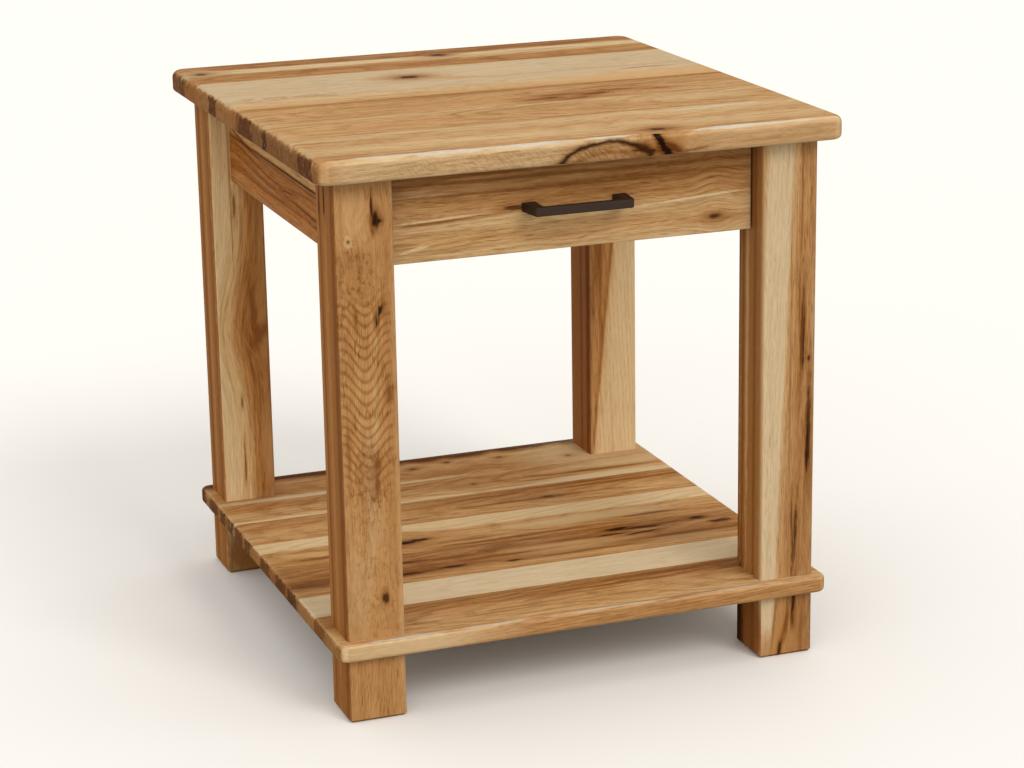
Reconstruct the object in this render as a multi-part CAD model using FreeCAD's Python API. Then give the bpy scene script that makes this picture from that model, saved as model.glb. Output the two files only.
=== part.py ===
import FreeCAD, Part
import os

# Rustic hickory side table with one drawer and a low shelf.
# Lengths are in millimetres. X runs to the right, Y to the back and Z up.
# The origin is on the floor, at the centre of the table's footprint. The drawer faces -Y.

vector = FreeCAD.Vector

# The whole table
table_width = 584.2
table_depth = 609.6
table_height = 609.6
overrun = 2.0
tolerance = overrun / 1000

# Top
top_thickness = 25.4
top_overhang = 22.225
top_corner_radius = 17.0
top_upper_round = 8.5
top_lower_round = 5.0
top_board_shares = (0.121, 0.082, 0.150, 0.143, 0.159, 0.144, 0.201)

# Shelf
shelf_thickness = 19.05
shelf_overhang = 12.7
shelf_corner_radius = 12.0
shelf_edge_round = 4.5
shelf_board_shares = (0.161, 0.119, 0.132, 0.164, 0.154, 0.108, 0.162)

# Legs and the feet that continue them under the shelf
leg_width = 63.5
leg_edge_round = 4.0
foot_height = 73.025
foot_chamfer = 3.0

# Aprons with stub tenons
apron_height = 98.425
apron_thickness = 22.225
apron_recess = 25.4
apron_edge_round = 1.5
tenon_thickness = 9.525
tenon_web = 2.225
tenon_top_shoulder = 19.05
tenon_low_shoulder = 12.7
mortise_slack = 0.1
mortise_spare = 1.0

# Flat rail that ties the front legs behind the drawer front
rail_thickness = 19.05
rail_width = 50.8
rail_setback = 3.2
rail_tenon_width = 9.525
rail_tenon_thickness = 9.525

# Dowels and lag bolts of the four corners
dowel_diameter = 9.525
dowel_bite = 16.0
dowel_chamfer = 1.0
dowel_spread_share = 0.27
bolt_diameter = 9.525
bolt_bite = 60.0
bolt_point = 8.0
bolt_head_width = 14.3
bolt_head_height = 6.4
bolt_bore_diameter = 30.0
bolt_bore_depth = 14.0
washer_diameter = 25.4
washer_thickness = 2.0
bore_clearance = 0.1

# Countersunk wood screws, and how deep each kind bites
screw_head_diameter = 7.8
screw_head_height = 2.3
screw_shank_diameter = 4.0
screw_point = 3.0
screw_bite = 16.0
cleat_screw_shares = (0.12, 0.5, 0.88)
rail_screw_shares = (0.2, 0.8)

# Figure-eight plates that hold the top down and let it move
plate_radius = 9.5
plate_thickness = 2.4
plate_pitch = 15.0
plate_neck = 9.0
plate_inset = 7.5
plate_shares = (0.22, 0.78)

# Three-part ball slides
slide_height = 45.0
slide_gauge = 1.2
slide_gap = 0.5
slide_lip = 2.0
slide_setback = 2.0
slide_back_room = 61.5
slide_screw_head_diameter = 6.4
slide_screw_shank_diameter = 3.4
slide_screw_bite = 9.0
slide_screw_shares = (0.09, 0.5, 0.91)
ball_diameter = 4.2
ball_clearance = 0.3
balls_per_row = 8
cage_gauge = 0.6
cage_margin = 11.6
cleat_height = 50.8

# Drawer
front_thickness = 22.225
front_side_gap = 3.0
front_top_gap = 2.4
front_edge_round = 1.5
box_thickness = 12.7
box_lift = 9.525
box_head_room = 6.35
bottom_thickness = 6.35
bottom_lift = 9.525
groove_depth = 6.35
groove_clearance = 0.15
groove_end_clearance = 0.5
dovetails_per_corner = 2
dovetail_wide_share = 0.66
dovetail_slope = 0.16
front_screw_head_diameter = 8.0
front_screw_head_height = 2.6
front_screw_x_share = 0.31
front_screw_z_shares = (0.25, 0.75)

# Bar pull, cast in one piece with its two posts
pull_screw_spacing = 101.6
pull_foot_width = 16.0
pull_bar_length = 110.0
pull_post_width = 11.0
pull_bar_thickness = 7.0
pull_height = 9.5
pull_standoff = 32.0
pull_outer_round = 3.5
pull_inner_round = 2.5
pull_edge_round = 1.1
pull_screw_diameter = 4.0
pull_screw_head_diameter = 8.0
pull_screw_head_height = 3.0
pull_thread_depth = 10.0
pull_screw_bite = 8.0

# Heights that the pieces share
shelf_bottom = foot_height
shelf_top = shelf_bottom + shelf_thickness
leg_top = table_height - top_thickness
apron_bottom = leg_top - apron_height
rail_bottom = leg_top - rail_thickness

# Faces of the legs and aprons, measured from the table's middle
leg_outer_x = table_width / 2 - top_overhang
leg_outer_y = table_depth / 2 - top_overhang
leg_inner_x = leg_outer_x - leg_width
leg_inner_y = leg_outer_y - leg_width
apron_outer_x = leg_outer_x - apron_recess
apron_inner_x = apron_outer_x - apron_thickness
apron_outer_y = leg_outer_y - apron_recess
apron_inner_y = apron_outer_y - apron_thickness
tenon_length = leg_width - apron_recess - (apron_thickness + tenon_thickness) / 2 - tenon_web

# Drawer front, which stands as deep behind the legs as the aprons do
front_face_y = -apron_outer_y
front_back_y = front_face_y + front_thickness
front_half_width = leg_inner_x - front_side_gap
front_top = leg_top - front_top_gap
rail_front_y = front_back_y + rail_setback
rail_back_y = rail_front_y + rail_width

# Section of a slide: distances from the cleat's face towards the drawer
ball_room = ball_diameter + 2 * ball_clearance
outer_cage_web = slide_gauge + slide_gap
middle_web = outer_cage_web + cage_gauge + slide_gap
inner_cage_web = middle_web + slide_gauge + slide_gap
inner_edge = inner_cage_web + cage_gauge + slide_gap
outer_track = middle_web + ball_room / 2
inner_track = inner_edge + ball_room / 2
outer_cage_edge = outer_track + ball_room / 2 + cage_gauge
inner_cage_edge = inner_track + ball_room / 2 + cage_gauge
outer_lip_start = outer_cage_edge + ball_clearance
outer_edge = outer_lip_start + slide_gauge
inner_web = inner_cage_edge + slide_gap
slide_thickness = inner_web + slide_gauge
middle_edge = inner_web - slide_gap

# Section of a slide: half heights from its middle line
outer_half = slide_height / 2
outer_track_z = outer_half - slide_gauge - ball_room / 2
middle_half = outer_half - slide_gauge - ball_room
inner_track_z = middle_half - slide_gauge - ball_room / 2
inner_half = middle_half - slide_gauge - ball_room

# Thickness of a cleat, which brings a side apron out flush with the legs
cleat_thickness = apron_inner_x - leg_inner_x

# Lengths of the fasteners, and how deep the pull's threads go
dowel_length = shelf_thickness + 2 * dowel_bite
bolt_reach = washer_thickness + foot_height - bolt_bore_depth + shelf_thickness + bolt_bite
front_screw_length = box_thickness + screw_bite
pull_screw_length = box_thickness + front_thickness + pull_screw_bite
thread_reach = box_thickness + front_thickness + pull_thread_depth

# Drawer box between the slides
box_half_width = leg_inner_x - slide_thickness
box_inner_half = box_half_width - box_thickness
box_bottom = apron_bottom + box_lift
box_top = rail_bottom - box_head_room
box_middle = (box_bottom + box_top) / 2
slide_front_y = front_back_y + slide_setback
slide_length = apron_inner_y - slide_front_y - slide_back_room
slide_back_y = slide_front_y + slide_length
box_back_y = slide_back_y - slide_setback
cage_length = slide_length / 2 - 2 * cage_margin
cage_front_y = slide_front_y + (slide_length - cage_length) / 2
pull_middle = (apron_bottom + front_top) / 2

x_way = vector(1, 0, 0)
y_way = vector(0, 1, 0)
z_way = vector(0, 0, 1)
sides = {"left": -1, "right": 1}
ends = {"front": -1, "back": 1}


def block(first, second):
    """Box between two opposite corners, given in any order."""
    low = [min(a, b) for a, b in zip(first, second)]
    high = [max(a, b) for a, b in zip(first, second)]
    size = [b - a for a, b in zip(low, high)]
    return Part.makeBox(size[0], size[1], size[2], vector(*low))


def turned(profile, place, way):
    """Solid of revolution about a line from place along way; the profile lists radius and distance."""
    points = [vector(radius, 0, reach) for radius, reach in profile]
    wire = Part.makePolygon(points + points[:1])
    solid = Part.Face(wire).revolve(vector(), z_way, 360)
    solid.Placement = FreeCAD.Placement(place, FreeCAD.Rotation(z_way, way))
    return Part.Solid(solid) if solid.ShapeType != "Solid" else solid


def straight_edges(shape, way):
    """Edges of a shape that are straight and parallel to way."""
    lines = [edge for edge in shape.Edges if edge.Curve.TypeId == "Part::GeomLine"]
    return [edge for edge in lines if edge.Curve.Direction.cross(way).Length < tolerance]


def level_edges(shape, height):
    """Edges that lie all the way at one height."""
    found = []
    for edge in shape.Edges:
        box = edge.BoundBox
        if abs(box.ZMin - height) < tolerance and abs(box.ZMax - height) < tolerance:
            found.append(edge)
    return found


def joined(shapes):
    """One solid out of shapes that touch."""
    whole = shapes[0].fuse(shapes[1:]).removeSplitter()
    return whole.Solids[0]


def cut_away(shape, tools):
    """The shape without the tools that reach it."""
    near = [tool for tool in tools if tool.BoundBox.intersect(shape.BoundBox)]
    return shape.cut(near) if near else shape


def between(low, high, share):
    return low + (high - low) * share


# Fasteners

def countersunk(place, way, head_diameter, head_height, shank_diameter, length):
    """Countersunk screw; place is the middle of its flat head, and way points to its tip."""
    profile = [(0, 0), (head_diameter / 2, 0), (shank_diameter / 2, head_height)]
    profile += [(shank_diameter / 2, length - screw_point), (0, length)]
    return turned(profile, place, way)


def countersunk_bore(place, way, head_diameter, head_height, shank_diameter, length):
    """The room that a countersunk screw needs, open past its head."""
    head = head_diameter / 2 + bore_clearance
    shank = shank_diameter / 2 + bore_clearance
    profile = [(0, -overrun), (head, -overrun), (head, 0), (shank, head_height)]
    profile += [(shank, length - screw_point), (0, length + bore_clearance)]
    return turned(profile, place, way)


def wood_screw_size(held_thickness):
    """Head, shank and length of a wood screw through a piece of this thickness."""
    length = held_thickness + screw_bite
    return screw_head_diameter, screw_head_height, screw_shank_diameter, length


def slide_screw_size():
    length = slide_gauge + slide_screw_bite
    return slide_screw_head_diameter, slide_gauge, slide_screw_shank_diameter, length


def pan_screw(place, way, head_diameter, head_height, shank_diameter, length):
    """Pan-head screw; place is under its head, and way points to its tip."""
    head = head_diameter / 2
    shank = shank_diameter / 2
    rim = head_height / 3
    profile = [(0, -head_height), (head - rim, -head_height), (head, -head_height + rim), (head, 0)]
    profile += [(shank, 0), (shank, length - shank), (0, length)]
    return turned(profile, place, way)


def shank_bore(place, way, shank_diameter, length):
    shank = shank_diameter / 2 + bore_clearance
    end = length + bore_clearance
    return turned([(0, -overrun), (shank, -overrun), (shank, end), (0, end)], place, way)


# Places of the fasteners

def corners():
    """Middle of each leg in plan, with its side and its end."""
    for end in ends.values():
        for side in sides.values():
            yield side * (leg_outer_x + leg_inner_x) / 2, end * (leg_outer_y + leg_inner_y) / 2, side, end


def dowel_places():
    """Two dowels stand on a diagonal of each corner, either side of the bolt."""
    spread = leg_width * dowel_spread_share
    for x, y, side, end in corners():
        for turn in (-1, 1):
            yield vector(x + turn * side * spread, y + turn * end * spread, shelf_bottom - dowel_bite)


def cleat_screws():
    """Places and ways of the screws through each cleat into its apron."""
    for side in sides.values():
        for share in cleat_screw_shares:
            y = between(-leg_inner_y, leg_inner_y, share)
            yield vector(side * leg_inner_x, y, box_middle), vector(side, 0, 0)


def slide_case_screws():
    """Screws through the web of each outer slide into the cleat."""
    for side in sides.values():
        for share in slide_screw_shares:
            y = between(slide_front_y, slide_back_y, share)
            yield vector(side * (leg_inner_x - slide_gauge), y, box_middle), vector(side, 0, 0)


def slide_drawer_screws():
    """Screws through the web of each inner slide into the drawer's side."""
    for side in sides.values():
        for share in slide_screw_shares:
            y = between(slide_front_y, slide_back_y, share)
            yield vector(side * (leg_inner_x - inner_web), y, box_middle), vector(-side, 0, 0)


def plate_places():
    """Middle of each figure-eight plate's seat in an apron, and the way to its free end."""
    for side in sides.values():
        for share in plate_shares:
            y = between(-leg_inner_y, leg_inner_y, share)
            yield vector(side * (apron_inner_x + plate_inset), y, leg_top), vector(-side, 0, 0)
    for share in plate_shares:
        x = between(-leg_inner_x, leg_inner_x, share)
        yield vector(x, apron_inner_y + plate_inset, leg_top), vector(0, -1, 0)


def plate_screws():
    """One screw goes down into the apron and one up into the top, at each plate."""
    for seat, way in plate_places():
        yield seat, vector(0, 0, -1)
        yield seat + way * plate_pitch - z_way * plate_thickness, vector(0, 0, 1)


def rail_screws():
    """Screws up through the front rail into the top."""
    for share in rail_screw_shares:
        x = between(-leg_inner_x, leg_inner_x, share)
        yield vector(x, (rail_front_y + rail_back_y) / 2, rail_bottom), vector(0, 0, 1)


def front_screws():
    """Screws from inside the box into the drawer front."""
    floor = box_bottom + bottom_lift + bottom_thickness
    for side in sides.values():
        for share in front_screw_z_shares:
            x = side * 2 * box_half_width * front_screw_x_share
            z = between(floor, box_top, share)
            yield vector(x, front_back_y + box_thickness, z), vector(0, -1, 0)


def pull_screws():
    for side in sides.values():
        x = side * pull_screw_spacing / 2
        yield vector(x, front_back_y + box_thickness, pull_middle), vector(0, -1, 0)


# Figure-eight plates

def eight(seat, way, grow):
    """Outline solid of a figure-eight plate; grow widens it for its seat in the apron."""
    far = seat + way * plate_pitch
    drop = z_way * plate_thickness
    across = way.cross(z_way) * (plate_neck / 2 + grow)
    first = Part.makeCylinder(plate_radius + grow, plate_thickness, seat - drop)
    second = Part.makeCylinder(plate_radius + grow, plate_thickness, far - drop)
    neck = block(tuple(seat - drop - across), tuple(far + across))
    return joined([first, second, neck])


def top_plates():
    bores = [countersunk_bore(*screw, *wood_screw_size(plate_thickness)) for screw in plate_screws()]
    return [cut_away(eight(seat, way, 0), bores) for seat, way in plate_places()]


# Top and shelf

def slab(half_width, half_depth, bottom, top, corner_radius, upper_round, lower_round):
    """Panel with rounded corners and rounded rims."""
    shape = block((-half_width, -half_depth, bottom), (half_width, half_depth, top))
    shape = shape.makeFillet(corner_radius, straight_edges(shape, z_way))
    shape = shape.makeFillet(upper_round, level_edges(shape, top))
    return shape.makeFillet(lower_round, level_edges(shape, bottom))


def boards(panel, shares, half_width, half_depth, bores):
    """Boards that were glued edge to edge into the panel, from the back to the front."""
    found = []
    back = half_depth
    for share in shares:
        front = back - 2 * half_depth * share / sum(shares)
        low = (-half_width - overrun, front, panel.BoundBox.ZMin - overrun)
        high = (half_width + overrun, back, panel.BoundBox.ZMax + overrun)
        found.append(cut_away(panel.common(block(low, high)), bores))
        back = front
    return found


def top_boards():
    half_width = table_width / 2
    half_depth = table_depth / 2
    panel = slab(half_width, half_depth, leg_top, table_height,
                 top_corner_radius, top_upper_round, top_lower_round)
    bores = [countersunk_bore(*screw, *wood_screw_size(plate_thickness))
             for screw in plate_screws() if screw[1].z > 0]
    bores += [countersunk_bore(*screw, *wood_screw_size(rail_thickness)) for screw in rail_screws()]
    return boards(panel, top_board_shares, half_width, half_depth, bores)


def shelf_boards():
    half_width = leg_outer_x + shelf_overhang
    half_depth = leg_outer_y + shelf_overhang
    panel = slab(half_width, half_depth, shelf_bottom, shelf_top,
                 shelf_corner_radius, shelf_edge_round, shelf_edge_round)
    return boards(panel, shelf_board_shares, half_width, half_depth, dowel_bores() + bolt_bores())


# Corners: legs, feet, dowels and bolts

def dowels():
    radius = dowel_diameter / 2
    tip = radius - dowel_chamfer
    profile = [(0, 0), (tip, 0), (radius, dowel_chamfer)]
    profile += [(radius, dowel_length - dowel_chamfer), (tip, dowel_length), (0, dowel_length)]
    return [turned(profile, place, z_way) for place in dowel_places()]


def dowel_bores():
    radius = dowel_diameter / 2 + bore_clearance
    drop = z_way * bore_clearance
    length = dowel_length + 2 * bore_clearance
    return [Part.makeCylinder(radius, length, place - drop) for place in dowel_places()]


def bolts():
    """Lag bolts with hexagon heads, up through foot and shelf into each leg."""
    seat = bolt_bore_depth - washer_thickness
    shank = bolt_diameter / 2
    found = []
    for x, y, side, end in corners():
        profile = [(0, 0), (shank, 0), (shank, bolt_reach - bolt_point), (0, bolt_reach)]
        stem = turned(profile, vector(x, y, seat), z_way)
        found.append(joined([stem, hexagon(x, y, seat - bolt_head_height, bolt_head_height)]))
    return found


def hexagon(x, y, bottom, height):
    """Hexagon head, upright, as the common space of three slabs."""
    long_half = bolt_head_width
    flat_half = bolt_head_width / 2
    head = None
    for turn in range(3):
        piece = block((x - long_half, y - flat_half, bottom),
                      (x + long_half, y + flat_half, bottom + height))
        piece.rotate(vector(x, y, bottom), z_way, turn * 60)
        head = piece if head is None else head.common(piece)
    return head


def washers():
    bottom = bolt_bore_depth - washer_thickness
    hole = bolt_diameter / 2 + bore_clearance
    found = []
    for x, y, side, end in corners():
        profile = [(hole, 0), (washer_diameter / 2, 0), (washer_diameter / 2, washer_thickness)]
        profile += [(hole, washer_thickness)]
        found.append(turned(profile, vector(x, y, bottom), z_way))
    return found


def bolt_bores():
    """Room for each bolt, its head and its washer."""
    shank = bolt_diameter / 2 + bore_clearance
    bore = bolt_bore_diameter / 2
    tip = bolt_bore_depth - washer_thickness + bolt_reach
    profile = [(0, -overrun), (bore, -overrun), (bore, bolt_bore_depth), (shank, bolt_bore_depth)]
    profile += [(shank, tip - bolt_point), (0, tip + bore_clearance)]
    return [turned(profile, vector(x, y, 0), z_way) for x, y, side, end in corners()]


def side_tenon(side, end, slack, spare):
    """Tenon of a side apron; with slack and spare it is the mortise."""
    middle = side * (apron_outer_x + apron_inner_x) / 2
    half = tenon_thickness / 2 + slack
    low = apron_bottom + tenon_low_shoulder - slack
    high = leg_top - tenon_top_shoulder + slack
    root = end * (leg_inner_y - spare)
    tip = end * (leg_inner_y + tenon_length + spare)
    return block((middle - half, root, low), (middle + half, tip, high))


def back_tenon(side, slack, spare):
    middle = (apron_outer_y + apron_inner_y) / 2
    half = tenon_thickness / 2 + slack
    low = apron_bottom + tenon_low_shoulder - slack
    high = leg_top - tenon_top_shoulder + slack
    root = side * (leg_inner_x - spare)
    tip = side * (leg_inner_x + tenon_length + spare)
    return block((root, middle - half, low), (tip, middle + half, high))


def rail_tenon(side, slack, spare):
    """Tenon of the front rail, at the rail's front edge where it meets the leg."""
    middle = rail_bottom + rail_thickness / 2
    half = rail_tenon_thickness / 2 + slack
    front = rail_front_y - slack
    back = rail_front_y + rail_tenon_width + slack
    root = side * (leg_inner_x - spare)
    tip = side * (leg_inner_x + tenon_length + spare)
    return block((root, front, middle - half), (tip, back, middle + half))


def post(side, end, bottom, top):
    """Square post of a leg with its four long edges eased."""
    low = (side * leg_inner_x, end * leg_inner_y, bottom)
    high = (side * leg_outer_x, end * leg_outer_y, top)
    shape = block(low, high)
    return shape.makeFillet(leg_edge_round, straight_edges(shape, z_way))


def leg(side, end):
    tools = [side_tenon(side, end, mortise_slack, mortise_spare)]
    if end > 0:
        tools.append(back_tenon(side, mortise_slack, mortise_spare))
    else:
        tools.append(rail_tenon(side, mortise_slack, mortise_spare))
    return cut_away(post(side, end, shelf_top, leg_top), tools + dowel_bores() + bolt_bores())


def foot(side, end):
    shape = post(side, end, 0, foot_height)
    shape = shape.makeChamfer(foot_chamfer, level_edges(shape, 0))
    return cut_away(shape, dowel_bores() + bolt_bores())


# Aprons, rail and cleats

def eased_board(first, second, way):
    """Board with its two lower long edges eased."""
    shape = block(first, second)
    long_edges = straight_edges(shape, way)
    lower = [edge for edge in long_edges if edge.BoundBox.ZMax < shape.BoundBox.Center.z]
    return shape.makeFillet(apron_edge_round, lower)


def side_apron(side):
    shape = eased_board((side * apron_inner_x, -leg_inner_y, apron_bottom),
                        (side * apron_outer_x, leg_inner_y, leg_top), y_way)
    shape = joined([shape] + [side_tenon(side, end, 0, 0) for end in ends.values()])
    return cut_away(shape, apron_bores())


def back_apron():
    shape = eased_board((-leg_inner_x, apron_inner_y, apron_bottom),
                        (leg_inner_x, apron_outer_y, leg_top), x_way)
    shape = joined([shape] + [back_tenon(side, 0, 0) for side in sides.values()])
    return cut_away(shape, apron_bores())


def apron_bores():
    """Seats of the plates and bores of the screws that enter the aprons."""
    tools = [eight(seat, way, bore_clearance) for seat, way in plate_places()]
    tools += [countersunk_bore(*screw, *wood_screw_size(plate_thickness)) for screw in plate_screws()]
    return tools + cleat_bores()


def cleat_bores():
    """Bores of the screws that hold the cleats and the outer slides."""
    tools = [countersunk_bore(*screw, *wood_screw_size(cleat_thickness)) for screw in cleat_screws()]
    return tools + [countersunk_bore(*screw, *slide_screw_size()) for screw in slide_case_screws()]


def cleat(side):
    half = cleat_height / 2
    shape = block((side * leg_inner_x, -leg_inner_y, box_middle - half),
                  (side * apron_inner_x, leg_inner_y, box_middle + half))
    return cut_away(shape, cleat_bores())


def front_rail():
    shape = block((-leg_inner_x, rail_front_y, rail_bottom), (leg_inner_x, rail_back_y, leg_top))
    shape = joined([shape] + [rail_tenon(side, 0, 0) for side in sides.values()])
    bores = [countersunk_bore(*screw, *wood_screw_size(rail_thickness)) for screw in rail_screws()]
    return cut_away(shape, bores)


# Slides

def slide_block(side, start, stop, low, high, front, back):
    """Block in a slide's own section: distances run from the cleat's face towards the drawer."""
    return block((side * (leg_inner_x - start), front, box_middle + low),
                 (side * (leg_inner_x - stop), back, box_middle + high))


def channel(side, web, edge, half, gauge, front, back):
    """Rail with a web and two flanges, bent from sheet of one gauge."""
    step = gauge if edge > web else -gauge
    web_block = slide_block(side, web, web + step, -half, half, front, back)
    upper = slide_block(side, web, edge, half - gauge, half, front, back)
    lower = slide_block(side, web, edge, -half, gauge - half, front, back)
    return [web_block, upper, lower]


def outer_slide(side):
    parts = channel(side, 0, outer_edge, outer_half, slide_gauge, slide_front_y, slide_back_y)
    lip_end = outer_half - slide_gauge - slide_lip
    for level in (-1, 1):
        parts.append(slide_block(side, outer_lip_start, outer_edge, level * lip_end,
                                 level * outer_half, slide_front_y, slide_back_y))
    return cut_away(joined(parts), [countersunk_bore(*screw, *slide_screw_size())
                                    for screw in slide_case_screws()])


def middle_slide(side):
    return joined(channel(side, middle_web, middle_edge, middle_half, slide_gauge,
                          slide_front_y, slide_back_y))


def inner_slide(side):
    parts = channel(side, slide_thickness, inner_edge, inner_half, slide_gauge,
                    slide_front_y, box_back_y)
    return cut_away(joined(parts), [countersunk_bore(*screw, *slide_screw_size())
                                    for screw in slide_drawer_screws()])


def ball_places(side, track, height):
    """Middles of the balls in the upper and lower row of one cage."""
    for step in range(balls_per_row):
        y = cage_front_y + cage_length * (step + 0.5) / balls_per_row
        for level in (-1, 1):
            yield vector(side * (leg_inner_x - track), y, box_middle + level * height)


def balls(side, track, height):
    return [Part.makeSphere(ball_diameter / 2, place) for place in ball_places(side, track, height)]


def cage(side, web, edge, track, height):
    """Strip that keeps the balls of one race apart, with a hole round each ball."""
    back = cage_front_y + cage_length
    strip = joined(channel(side, web, edge, height + cage_gauge / 2, cage_gauge, cage_front_y, back))
    radius = ball_room / 2
    holes = [Part.makeCylinder(radius, 2 * radius, place - z_way * radius)
             for place in ball_places(side, track, height)]
    return strip.cut(holes)


# Drawer

def drawer_front():
    shape = block((-front_half_width, front_face_y, apron_bottom),
                  (front_half_width, front_back_y, front_top))
    shape = shape.makeFillet(front_edge_round, facing_edges(shape, front_face_y))
    bores = [shank_bore(*screw, screw_shank_diameter, front_screw_length) for screw in front_screws()]
    bores += [shank_bore(*screw, pull_screw_diameter, pull_screw_length) for screw in pull_screws()]
    return cut_away(shape, bores)


def facing_edges(shape, face_y):
    """Edges round the face that stands at face_y."""
    return [edge for edge in shape.Edges if abs(edge.BoundBox.YMax - face_y) < tolerance]


def bottom_panel(grow):
    """Drawer bottom in its grooves; grow makes the space that the grooves leave for it."""
    reach = groove_depth - groove_end_clearance
    if grow:
        reach = groove_depth
    x = box_inner_half + reach
    front = front_back_y + box_thickness - reach
    back = box_back_y - box_thickness + reach
    low = box_bottom + bottom_lift
    return block((-x, front, low - grow), (x, back, low + bottom_thickness + grow))


def tails(side, end_y, inward):
    """Dovetails of a drawer side at one end; inward is the way from that end into the box."""
    pitch = (box_top - box_bottom) / dovetails_per_corner
    wide = pitch * dovetail_wide_share / 2
    narrow = wide - box_thickness * dovetail_slope
    inner_x = side * box_inner_half
    found = []
    for step in range(dovetails_per_corner):
        middle = box_bottom + pitch * (step + 0.5)
        shoulder_y = end_y + inward * box_thickness
        points = [vector(inner_x, end_y, middle - wide), vector(inner_x, end_y, middle + wide),
                  vector(inner_x, shoulder_y, middle + narrow), vector(inner_x, shoulder_y, middle - narrow)]
        face = Part.Face(Part.makePolygon(points + points[:1]))
        found.append(face.extrude(vector(side * box_thickness, 0, 0)))
    return found


def box_side(side):
    """Drawer side with dovetails at both ends and the groove for the bottom."""
    body = block((side * box_inner_half, front_back_y + box_thickness, box_bottom),
                 (side * box_half_width, box_back_y - box_thickness, box_top))
    whole = joined([body] + tails(side, front_back_y, 1) + tails(side, box_back_y, -1))
    bores = [countersunk_bore(*screw, *slide_screw_size()) for screw in slide_drawer_screws()]
    return cut_away(whole, [bottom_panel(groove_clearance)] + bores)


def box_end(end_y, inward):
    """Front or back board of the drawer box, with the pins between the sides' dovetails."""
    board = block((-box_half_width, end_y, box_bottom),
                  (box_half_width, end_y + inward * box_thickness, box_top))
    sockets = tails(-1, end_y, inward) + tails(1, end_y, inward)
    return board.cut(sockets + [bottom_panel(groove_clearance)])


def box_front():
    bores = [shank_bore(*screw, screw_shank_diameter, front_screw_length) for screw in front_screws()]
    bores += [shank_bore(*screw, pull_screw_diameter, pull_screw_length) for screw in pull_screws()]
    return cut_away(box_end(front_back_y, 1), bores)


def pull():
    """Cast pull: a flat bar whose posts lean out to wider feet on the drawer front."""
    foot_out = (pull_screw_spacing + pull_foot_width) / 2
    foot_in = foot_out - pull_foot_width
    bar_out = pull_bar_length / 2
    bar_in = bar_out - pull_post_width
    bar_front = front_face_y - pull_standoff
    bar_back = bar_front + pull_bar_thickness
    right = [(foot_in, front_face_y), (foot_out, front_face_y), (bar_out, bar_front)]
    left = [(-x, y) for x, y in reversed(right)]
    outline = right + left + [(-bar_in, bar_back), (bar_in, bar_back)]
    bottom = pull_middle - pull_height / 2
    points = [vector(x, y, bottom) for x, y in outline]
    shape = Part.Face(Part.makePolygon(points + points[:1])).extrude(z_way * pull_height)
    shape = shape.makeFillet(pull_outer_round, edges_at(shape, bar_front))
    shape = shape.makeFillet(pull_inner_round, edges_at(shape, bar_back))
    rims = [edge for edge in level_edges(shape, bottom) + level_edges(shape, bottom + pull_height)
            if edge.BoundBox.YMin < front_face_y - pull_edge_round]
    shape = shape.makeFillet(pull_edge_round, rims)
    threads = [shank_bore(place, way, pull_screw_diameter, thread_reach) for place, way in pull_screws()]
    return shape.cut(threads)


def edges_at(shape, y):
    """Upright edges that stand at one depth."""
    return [edge for edge in straight_edges(shape, z_way) if abs(edge.BoundBox.YMin - y) < tolerance]


# All pieces by name

def pieces():
    found = {}
    for number, board in enumerate(top_boards(), 1):
        found[f"top_board_{number}"] = [board]
    for number, board in enumerate(shelf_boards(), 1):
        found[f"shelf_board_{number}"] = [board]
    for end_name, end in ends.items():
        for side_name, side in sides.items():
            found[f"leg_{end_name}_{side_name}"] = [leg(side, end)]
            found[f"foot_{end_name}_{side_name}"] = [foot(side, end)]
    for name, side in sides.items():
        found[f"side_apron_{name}"] = [side_apron(side)]
        found[f"slide_cleat_{name}"] = [cleat(side)]
        found[f"slide_outer_{name}"] = [outer_slide(side)]
        found[f"slide_middle_{name}"] = [middle_slide(side)]
        found[f"slide_inner_{name}"] = [inner_slide(side)]
        found[f"outer_cage_{name}"] = [cage(side, outer_cage_web, outer_cage_edge,
                                            outer_track, outer_track_z)]
        found[f"inner_cage_{name}"] = [cage(side, inner_cage_web, inner_cage_edge,
                                            inner_track, inner_track_z)]
        found[f"outer_balls_{name}"] = balls(side, outer_track, outer_track_z)
        found[f"inner_balls_{name}"] = balls(side, inner_track, inner_track_z)
        found[f"drawer_side_{name}"] = [box_side(side)]
    found["back_apron"] = [back_apron()]
    found["front_rail"] = [front_rail()]
    found["drawer_front"] = [drawer_front()]
    found["drawer_box_front"] = [box_front()]
    found["drawer_back"] = [box_end(box_back_y, -1)]
    found["drawer_bottom"] = [bottom_panel(0)]
    found["drawer_pull"] = [pull()]
    found["corner_dowels"] = dowels()
    found["leg_bolts"] = bolts()
    found["leg_bolt_washers"] = washers()
    found["top_plates"] = top_plates()
    found.update(screws())
    return found


def screws():
    """Each kind of screw, as a group of separate solids."""
    cleat_size = wood_screw_size(cleat_thickness)
    plate_size = wood_screw_size(plate_thickness)
    rail_size = wood_screw_size(rail_thickness)
    front_size = (front_screw_head_diameter, front_screw_head_height,
                  screw_shank_diameter, front_screw_length)
    pull_size = (pull_screw_head_diameter, pull_screw_head_height,
                 pull_screw_diameter, pull_screw_length)
    return {
        "cleat_screws": [countersunk(*screw, *cleat_size) for screw in cleat_screws()],
        "top_plate_screws": [countersunk(*screw, *plate_size) for screw in plate_screws()],
        "rail_screws": [countersunk(*screw, *rail_size) for screw in rail_screws()],
        "slide_case_screws": [countersunk(*screw, *slide_screw_size()) for screw in slide_case_screws()],
        "slide_drawer_screws": [countersunk(*screw, *slide_screw_size()) for screw in slide_drawer_screws()],
        "drawer_front_screws": [pan_screw(*screw, *front_size) for screw in front_screws()],
        "pull_screws": [pan_screw(*screw, *pull_size) for screw in pull_screws()],
    }


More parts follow.
